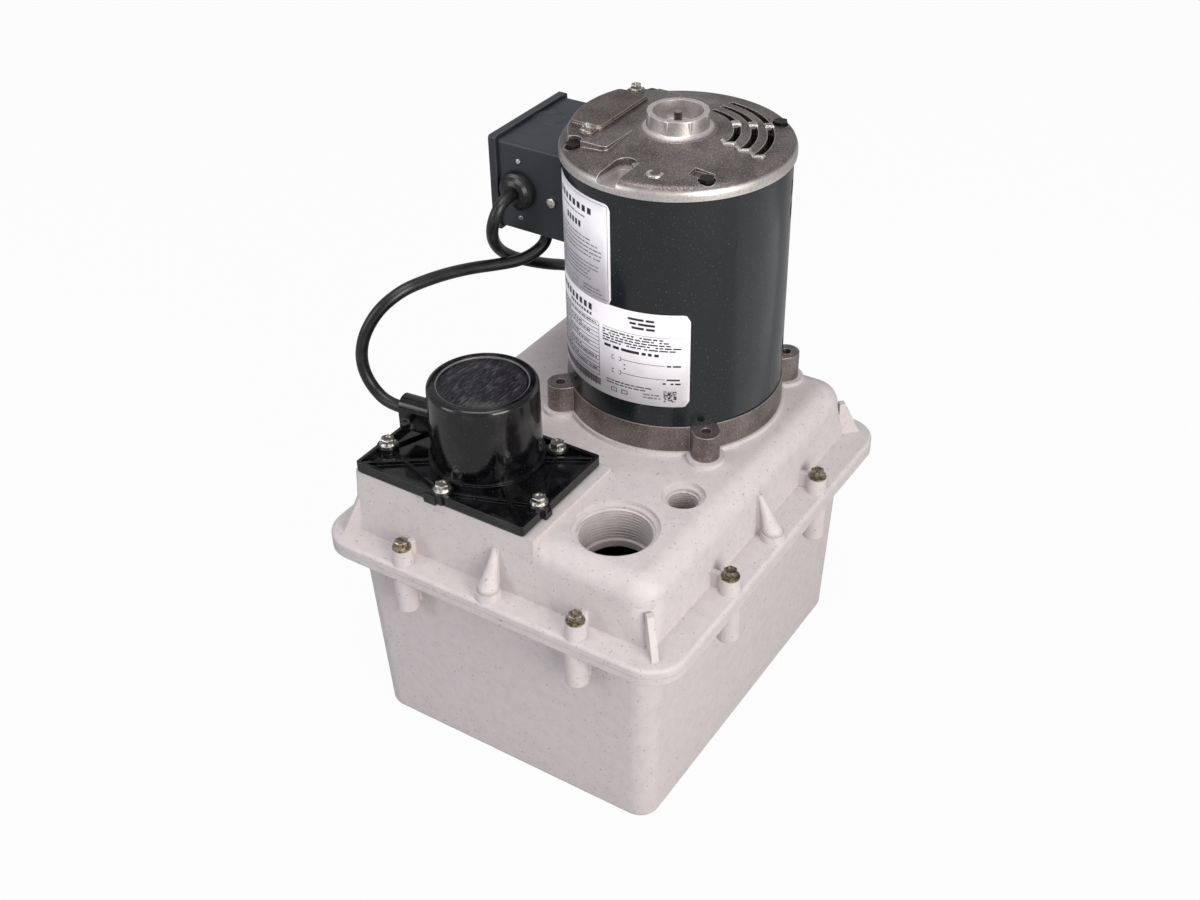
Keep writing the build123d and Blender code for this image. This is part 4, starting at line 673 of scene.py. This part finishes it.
# -------------------------------------------------------------------- cords
class PUMP_OT_cords(bpy.types.Operator):
    """Power cord with its put-away coil and plug, and the lead of the float switch"""
    bl_idname = "pump.cords"
    bl_label = "Cords"

    def execute(self, context):
        points = power_route + coil_turns() + tail_route
        power = smooth_cord("power_lead", points)
        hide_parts("power_cord", "power_cord_coil", "power_cord_tail")
        round(line_length(points), 2)
        lead = smooth_cord("switch_lead", switch_route)
        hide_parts("switch_cable")
        round(line_length(switch_route), 3)
        return {"FINISHED"}


# ----------------------------------------------------------------- finishes
class PUMP_OT_finishes(bpy.types.Operator):
    """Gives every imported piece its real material"""
    bl_idname = "pump.finishes"
    bl_label = "Finishes"

    def execute(self, context):
        for name, look in node_finishes.items():
            materials = nodes[name].data.materials
            if len(materials) == 0:
                materials.append(finish(look))
            for k in range(len(materials)):
                materials[k] = finish(look)
        return {"FINISHED"}


# ------------------------------------------------------------------ threads
class PUMP_OT_threads(bpy.types.Operator):
    """Pipe threads in the three ports of the lid"""
    bl_idname = "pump.threads"
    bl_label = "Pipe threads"

    def execute(self, context):
        sizes = context.scene.pump_threads
        inch = 25.4 * MM
        for name, per_inch, low, high in (("inlet", 11.5, 172.6, 196.0), ("vent", 14.0, 179.6, 196.0),
                                          ("discharge", 14.0, 183.6, 201.0)):
            place, radius = mount(name)
            self.thread(name, place, radius, inch / per_inch, low * MM, high * MM, sizes)
        return {"FINISHED"}

    def thread(self, name, place, radius, pitch, low, high, sizes):
        """Ridge with a flat crest, and the root between its turns, painted darker as shade in the groove."""
        turns = (high - low - pitch) / pitch
        steps = int(turns * sizes.steps)
        wall = radius + 0.3 * MM
        foot = pitch * 0.62
        crest = radius - min(sizes.depth, foot)
        ridge = ((wall, 0.0), (crest, pitch * 0.3), (crest, pitch * 0.4), (wall, foot))
        root = ((wall, pitch * 0.6), (wall, pitch * 1.02))
        # the root strip carries painted shade of the grooves
        for ending, profile, look in (("_thread", ridge, "lid_foam"), ("_thread_root", root, "thread_dirt")):
            bm = bmesh.new()
            self.strips(bm, place, low, turns, steps, pitch, profile)
            piece(name + ending, bm, look)

    def strips(self, bm, place, low, turns, steps, pitch, profile):
        """Winds each side of a thread's profile, given as (radius, height) pairs, up the bore."""
        wall = profile[0][0]
        taper = 12                      # steps over which the thread rises from the wall and sinks back
        for start, end in zip(profile, profile[1:]):
            rings = []
            for k in range(steps + 1):
                turn = 2 * pi * turns * k / steps
                run_out = min(1.0, k / taper, (steps - k) / taper)
                z = low + pitch * turns * k / steps
                ring = []
                for r, dz in (start, end):
                    r = wall + (r - wall) * run_out
                    ring.append((place.x + r * cos(turn), place.y + r * sin(turn), z + dz))
                rings.append(ring)
            ring_strip(bm, rings, closed_rings=False)


# ------------------------------------------------------------ small castings
class PUMP_OT_bell_ridges(bpy.types.Operator):
    """Raised pads, chevrons and a half boss on the motor's top bell, and a dark sleeve under it that puts
    painted shade behind the shell's slots
    """
    bl_idname = "pump.bell_ridges"
    bl_label = "Bell ridges"

    def execute(self, context):
        rise = 2.0
        pad_start, pad_long, pad_half = 37.6, 5.4, 3.0
        chevron_at, chevron_back = -5.5, 3.5
        arm_reach, arm_lean, arm_width = 5.2, 3.4, 3.0
        bm = bmesh.new()
        for radius in (36.0, 46.5, 56.5):
            z = self.dome(radius)
            pitch = degrees(1 / radius)     # degrees in a millimetre of arc
            inner, outer = radius - pad_half, radius + pad_half
            pad_end = pad_start + pad_long * pitch
            self.slab(bm, [(inner, pad_start), (outer, pad_start), (outer, pad_end), (inner, pad_end)],
                      z, rise)
            tip = chevron_at - chevron_back * pitch
            for side in (-1, 1):
                reach = radius + arm_reach * side
                self.slab(bm, [(radius, tip), (reach, tip + arm_lean * pitch),
                               (reach, tip + (arm_lean + arm_width) * pitch),
                               (radius, tip + arm_width * pitch)], z, rise)
        self.half_boss(bm)
        piece("bell_ridges", bm, "bell_ridges", smooth=False)
        self.baffle()
        return {"FINISHED"}

    def baffle(self):
        """Thin dark sleeve inside the shell, between the windings and the shell's slots, that puts painted
        shade behind the slots.
        """
        wound_low, wound_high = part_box("stator_windings")
        radius = ((wound_high.x - wound_low.x) / 2 + SHELL_R) / 2
        inner = radius - 0.6 * MM
        low, high = top_of("stator_core") + 1 * MM, shell_high.z - 2 * MM
        bm = bmesh.new()
        turned_form(bm, (MOTOR_X, MOTOR_Y), [(radius, low), (radius, high), (inner, high), (inner, low),
                                             (radius, low)])
        piece("air_baffle", bm, "gasket_rubber")

    def dome(self, radius):
        """Height of the bell's skin at a distance from the motor's axis, both in millimetres."""
        hub, edge = 23.7, 67.0
        share = min(1.0, max(0.0, (edge - radius) / (edge - hub)))
        return BELL_Z / MM + (DOME_Z - BELL_Z) / MM * share

    def slab(self, bm, outline, z, rise):
        """Low raised patch with sloping sides from (radius, angle) corners."""
        centre = [sum(values) / len(outline) for values in zip(*outline)]
        rings = []
        for height, shrink in ((-1.0, 1.0), (rise * 0.6, 0.95), (rise, 0.72)):
            ring = []
            for radius, angle in outline:
                r = centre[0] + (radius - centre[0]) * shrink
                turn = centre[1] + (angle - centre[1]) * shrink
                ring.append(round_the_motor(r * MM, turn, (z + height) * MM))
            rings.append(ring)
        ring_strip(bm, rings, closed_ends=True)

    def half_boss(self, bm):
        """Open ring of metal, as left round a blind hole."""
        distance, angle = 58.0, -73.0
        start, sweep, steps = 150, 240, 14
        section = ((3.2, -1.0), (3.2, 1.2), (4.0, 1.5), (5.2, 1.1), (5.6, -1.0))
        centre = round_the_motor(distance * MM, angle, 0)
        z = self.dome(distance)
        rings = []
        for k in range(steps + 1):
            turn = radians(start + sweep * k / steps)
            rings.append([(centre.x + radius * MM * cos(turn), centre.y + radius * MM * sin(turn),
                           (z + height) * MM) for radius, height in section])
        ring_strip(bm, rings, closed_ends=True)


class PUMP_OT_cap_disc(bpy.types.Operator):
    """Scuffed disc in the dish of the float switch's cap, with a bead round it painted grey as a highlight of
    the dish's edge
    """
    bl_idname = "pump.cap_disc"
    bl_label = "Cap disc"

    def execute(self, context):
        dish = 29.6 * MM                # radius of the dish in the cap
        floor = CAP_TOP - 1.4 * MM
        disc = bmesh.new()
        turned_form(disc, (CAP_X, CAP_Y), [(0.5 * MM, floor + 0.5 * MM), (14 * MM, floor + 0.45 * MM),
                                           (dish - 2.4 * MM, floor + 0.3 * MM),
                                           (dish - 2.2 * MM, floor - 0.1 * MM)])
        piece("cap_disc", disc, "cap_disc_abs")
        bead = bmesh.new()
        # bead painted grey as a highlight of the dish's edge
        turned_form(bead, (CAP_X, CAP_Y), bead_section(dish - 0.5 * MM, floor, 0.55 * MM, 1.1 * MM, 8), 96)
        piece("cap_bead", bead, "cap_bead_abs")
        return {"FINISHED"}


class PUMP_OT_lid_fins(bpy.types.Operator):
    """Half-cone fins that run from the hood down to the blank pads of the lid's rim"""
    bl_idname = "pump.lid_fins"
    bl_label = "Lid fins"

    def execute(self, context):
        low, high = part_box("lid")
        inset, start = 9.1 * MM, 4.8 * MM
        foot, tip = 7.4 * MM, 1.8 * MM
        lean, rise = 10.5 * MM, 25.0 * MM
        pads = {"front": (0.0, low.y + inset), "back": (0.0, high.y - inset),
                "left": (low.x + inset, 0.0), "right": (high.x - inset, 0.0)}
        for name, (x, y) in pads.items():
            inward = Vector((-x, -y, 0)).normalized()
            bm = bmesh.new()
            rings = []
            for share in (0.0, 0.12, 0.35, 0.65, 0.9, 1.0):
                centre = Vector((x, y, 0)) + inward * lean * share
                radius = foot + (tip - foot) * share ** 0.7
                rings.append(circle(centre.x, centre.y, radius, RIM_TOP + start + rise * share, 24))
            ring_strip(bm, rings, closed_ends=True)
            piece("lid_fin_" + name, bm, "lid_foam")
        return {"FINISHED"}


class PUMP_OT_knockout(bpy.types.Operator):
    """Pressed knockout rings on the junction box"""
    bl_idname = "pump.knockout"
    bl_label = "Knockout"

    def execute(self, context):
        centre = (-80.9 * MM, 59.7 * MM)
        half_width, height, sunk = 0.7 * MM, 0.35 * MM, 0.05 * MM
        bm = bmesh.new()
        for radius in (11.0 * MM, 8.6 * MM):
            turned_form(bm, centre, bead_section(radius, BOX_TOP - sunk, half_width, height, 6))
        piece("box_knockout", bm, "box_coat")
        return {"FINISHED"}


# ------------------------------------------------------------------- labels
class PUMP_OT_labels(bpy.types.Operator):
    """Two vinyl labels on the motor with plain printed lines and blocks"""
    bl_idname = "pump.labels"
    bl_label = "Motor labels"

    def execute(self, context):
        self.sizes = context.scene.pump_labels
        self.pick = random.Random(self.sizes.seed)
        self.sheet("upper_label", -146.0, -93.5, 302.0, 370.0)
        self.sheet("lower_label", -146.0, -52.5, 236.0, 302.6)
        self.print_upper()
        self.print_lower()
        return {"FINISHED"}

    def at(self, angle, z, lift):
        return round_the_motor(SHELL_R + lift, angle, z)

    def sheet(self, name, left, right, low, high):
        """Thin sheet bent round the shell, with rounded corners."""
        bm = bmesh.new()
        corner, lift = self.sizes.corner, self.sizes.lift
        glue = 0.02 * MM
        columns = 48
        lower, upper = [], []
        for k in range(columns + 1):
            angle = left + (right - left) * k / columns
            gap = min(k, columns - k) / columns * radians(right - left) * SHELL_R
            drop = 0.0
            if gap < corner:
                drop = corner - (corner ** 2 - (corner - gap) ** 2) ** 0.5
            lower.append((angle, low * MM + drop))
            upper.append((angle, high * MM - drop))
        rows = []
        for line, out in ((lower, glue), (lower, lift), (upper, lift), (upper, glue)):
            rows.append([self.at(angle, z, out) for angle, z in line])
        ring_strip(bm, rows, closed_rings=False)
        piece(name, bm, "label_vinyl")

    def bar(self, bm, left, right, low, high):
        """Printed block on the label, bent with it; angles in degrees, heights in millimetres."""
        lift = self.sizes.lift + self.sizes.ink
        steps = max(1, int(abs(right - left) / 3))
        rows = []
        for z in (low, high):
            rows.append([self.at(left + (right - left) * k / steps, z * MM, lift) for k in range(steps + 1)])
        ring_strip(bm, rows, closed_rings=False)

    def text_line(self, bm, left, right, base, height, ragged=True):
        """Row of word-like dashes; they stand for small print and say nothing."""
        place = left
        while place < right - 0.6:
            word = min(self.pick.uniform(1.4, 6.0) * height, right - place)
            self.bar(bm, place, place + word, base, base + height)
            place += word + 0.7 * height
            if ragged and place > left + (right - left) * 0.8 and self.pick.random() < 0.4:
                break

    def paragraph(self, bm, rows, left, right, top, step, height, ragged=True):
        """Lines of small print, one under another."""
        for row in range(rows):
            self.text_line(bm, left, right, top - step * row, height, ragged)

    def frame_line(self, bm, left, right, low, high, width):
        """Outline of a panel."""
        across = degrees(width * MM / SHELL_R)
        self.bar(bm, left, right, low, low + width)
        self.bar(bm, left, right, high - width, high)
        self.bar(bm, left, left + across, low, high)
        self.bar(bm, right - across, right, low, high)

    def blocks(self, bm, left, right, base, height, count):
        """Even row of upright blocks that stands for a heading."""
        step = (right - left) / count
        for k in range(count):
            self.bar(bm, left + step * k, left + step * (k + 0.62), base, base + height)

    def print_upper(self):
        """Border, heading, two paragraphs and a row of boxes."""
        ink = bmesh.new()
        grey = bmesh.new()
        self.frame_line(grey, -144.5, -95.0, 304.5, 368.5, 0.3)
        self.blocks(ink, -139.0, -104.0, 358.6, 4.2, 8)
        self.text_line(grey, -136.0, -108.0, 354.8, 0.9)
        self.blocks(ink, -129.0, -113.0, 346.6, 4.0, 5)
        self.paragraph(grey, 5, -141.0, -99.0, 341.0, 2.8, 0.85)
        self.paragraph(grey, 5, -141.0, -101.0, 324.6, 2.6, 0.7)
        for k in range(3):
            self.frame_line(grey, -142.0 + 9 * k, -136.0 + 9 * k, 306.5, 310.0, 0.3)
        self.paragraph(grey, 2, -113.0, -98.0, 309.0, 2.4, 0.7)
        piece("upper_label_print", ink, "label_ink")
        piece("upper_label_small_print", grey, "label_grey")

    def print_lower(self):
        """Heading and ruled table at the left; notes, two switch signs and a patch of cells at the right."""
        ink = bmesh.new()
        grey = bmesh.new()
        self.blocks(ink, -141.0, -105.0, 293.0, 4.4, 9)
        self.blocks(ink, -127.0, -106.0, 289.2, 2.0, 9)
        self.frame_line(ink, -143.0, -101.5, 247.5, 287.0, 0.3)
        for row in range(13):
            rule = 250.4 + 2.8 * row
            self.bar(ink, -143.0, -101.5, rule, rule + 0.45)
            self.text_line(ink, -141.0, -103.5 - 12.0 * (row % 3), rule + 1.05, 0.9)
        self.bar(grey, -143.0, -101.0, 240.8, 245.6)
        across = -142.0
        while across < -104.0:
            width = self.pick.uniform(0.25, 0.9)
            self.bar(ink, across, across + width, 240.0, 246.0)
            across += width + self.pick.uniform(0.3, 0.8)
        for row in range(3):
            self.text_line(ink, -84.0 + 1.0 * row, -70.0, 296.5 - 3.0 * row, 1.6, ragged=False)
        self.bar(grey, -99.0, -56.0, 286.2, 286.5)
        self.paragraph(ink, 5, -99.0, -57.0, 284.0, 1.9, 1.0)
        self.text_line(ink, -98.0, -68.0, 272.4, 2.0, ragged=False)
        for z in (266.0, 256.0):
            self.frame_line(ink, -93.5, -88.0, z - 1.4, z + 1.6, 0.4)
            self.bar(ink, -88.0, -65.0, z, z + 0.35)
            self.text_line(ink, -64.0, -57.0, z - 0.5, 1.2, ragged=False)
        for z in (262.3, 259.3):
            self.bar(ink, -86.5, -85.6, z, z + 0.8)
        self.text_line(ink, -66.0, -57.0, 252.6, 1.2, ragged=False)
        self.paragraph(ink, 2, -97.0, -70.0, 248.0, 2.0, 0.8)
        for k in range(2):
            self.frame_line(ink, -94.0 + 6 * k, -90.5 + 6 * k, 240.6, 243.6, 0.5)
        self.paragraph(grey, 2, -76.0, -67.0, 243.4, 2.2, 0.9, ragged=False)
        self.checks(ink)
        piece("lower_label_print", ink, "label_ink")
        piece("lower_label_small_print", grey, "label_grey")

    def checks(self, bm):
        """Square patch of random cells; it holds no code."""
        cell, count, filled = 0.62, 13, 0.52
        corner, base = -65.5, 239.6
        turn = degrees(cell * MM / SHELL_R)
        for row in range(count):
            for column in range(count):
                if self.pick.random() < filled:
                    left = corner + turn * column
                    self.bar(bm, left, left + turn, base + cell * row, base + cell * (row + 1))


# -------------------------------------------------------------------- panel
class PUMP_PT_panel(bpy.types.Panel):
    """Lists the dressing steps"""
    bl_idname = "PUMP_PT_panel"
    bl_label = "Condensate pump"
    bl_space_type = "VIEW_3D"
    bl_region_type = "UI"
    bl_category = "Pump"

    def draw(self, context):
        for step in steps:
            self.layout.operator(step.bl_idname)
        for group in groups:
            owner = getattr(context.scene, group)
            for name in owner.bl_rna.properties.keys():
                if name not in ("rna_type", "name"):
                    self.layout.prop(owner, name)


steps = (PUMP_OT_stage, PUMP_OT_cords, PUMP_OT_finishes, PUMP_OT_threads, PUMP_OT_bell_ridges,
         PUMP_OT_cap_disc, PUMP_OT_lid_fins, PUMP_OT_knockout, PUMP_OT_labels)
groups = {"pump_colours": PumpColours, "pump_stage": PumpStage, "pump_threads": PumpThreads,
          "pump_labels": PumpLabels}


def register():
    for kind in (*groups.values(), *steps, PUMP_PT_panel):
        bpy.utils.register_class(kind)
    for name, group in groups.items():
        setattr(bpy.types.Scene, name, PointerProperty(type=group))


def unregister():
    for name in groups:
        delattr(bpy.types.Scene, name)
    for kind in (PUMP_PT_panel, *reversed(steps), *groups.values()):
        bpy.utils.unregister_class(kind)


def main():
    register()
    for step in steps:
        getattr(bpy.ops.pump, step.bl_idname.split(".")[1])()


if __name__ == "__main__":
    main()
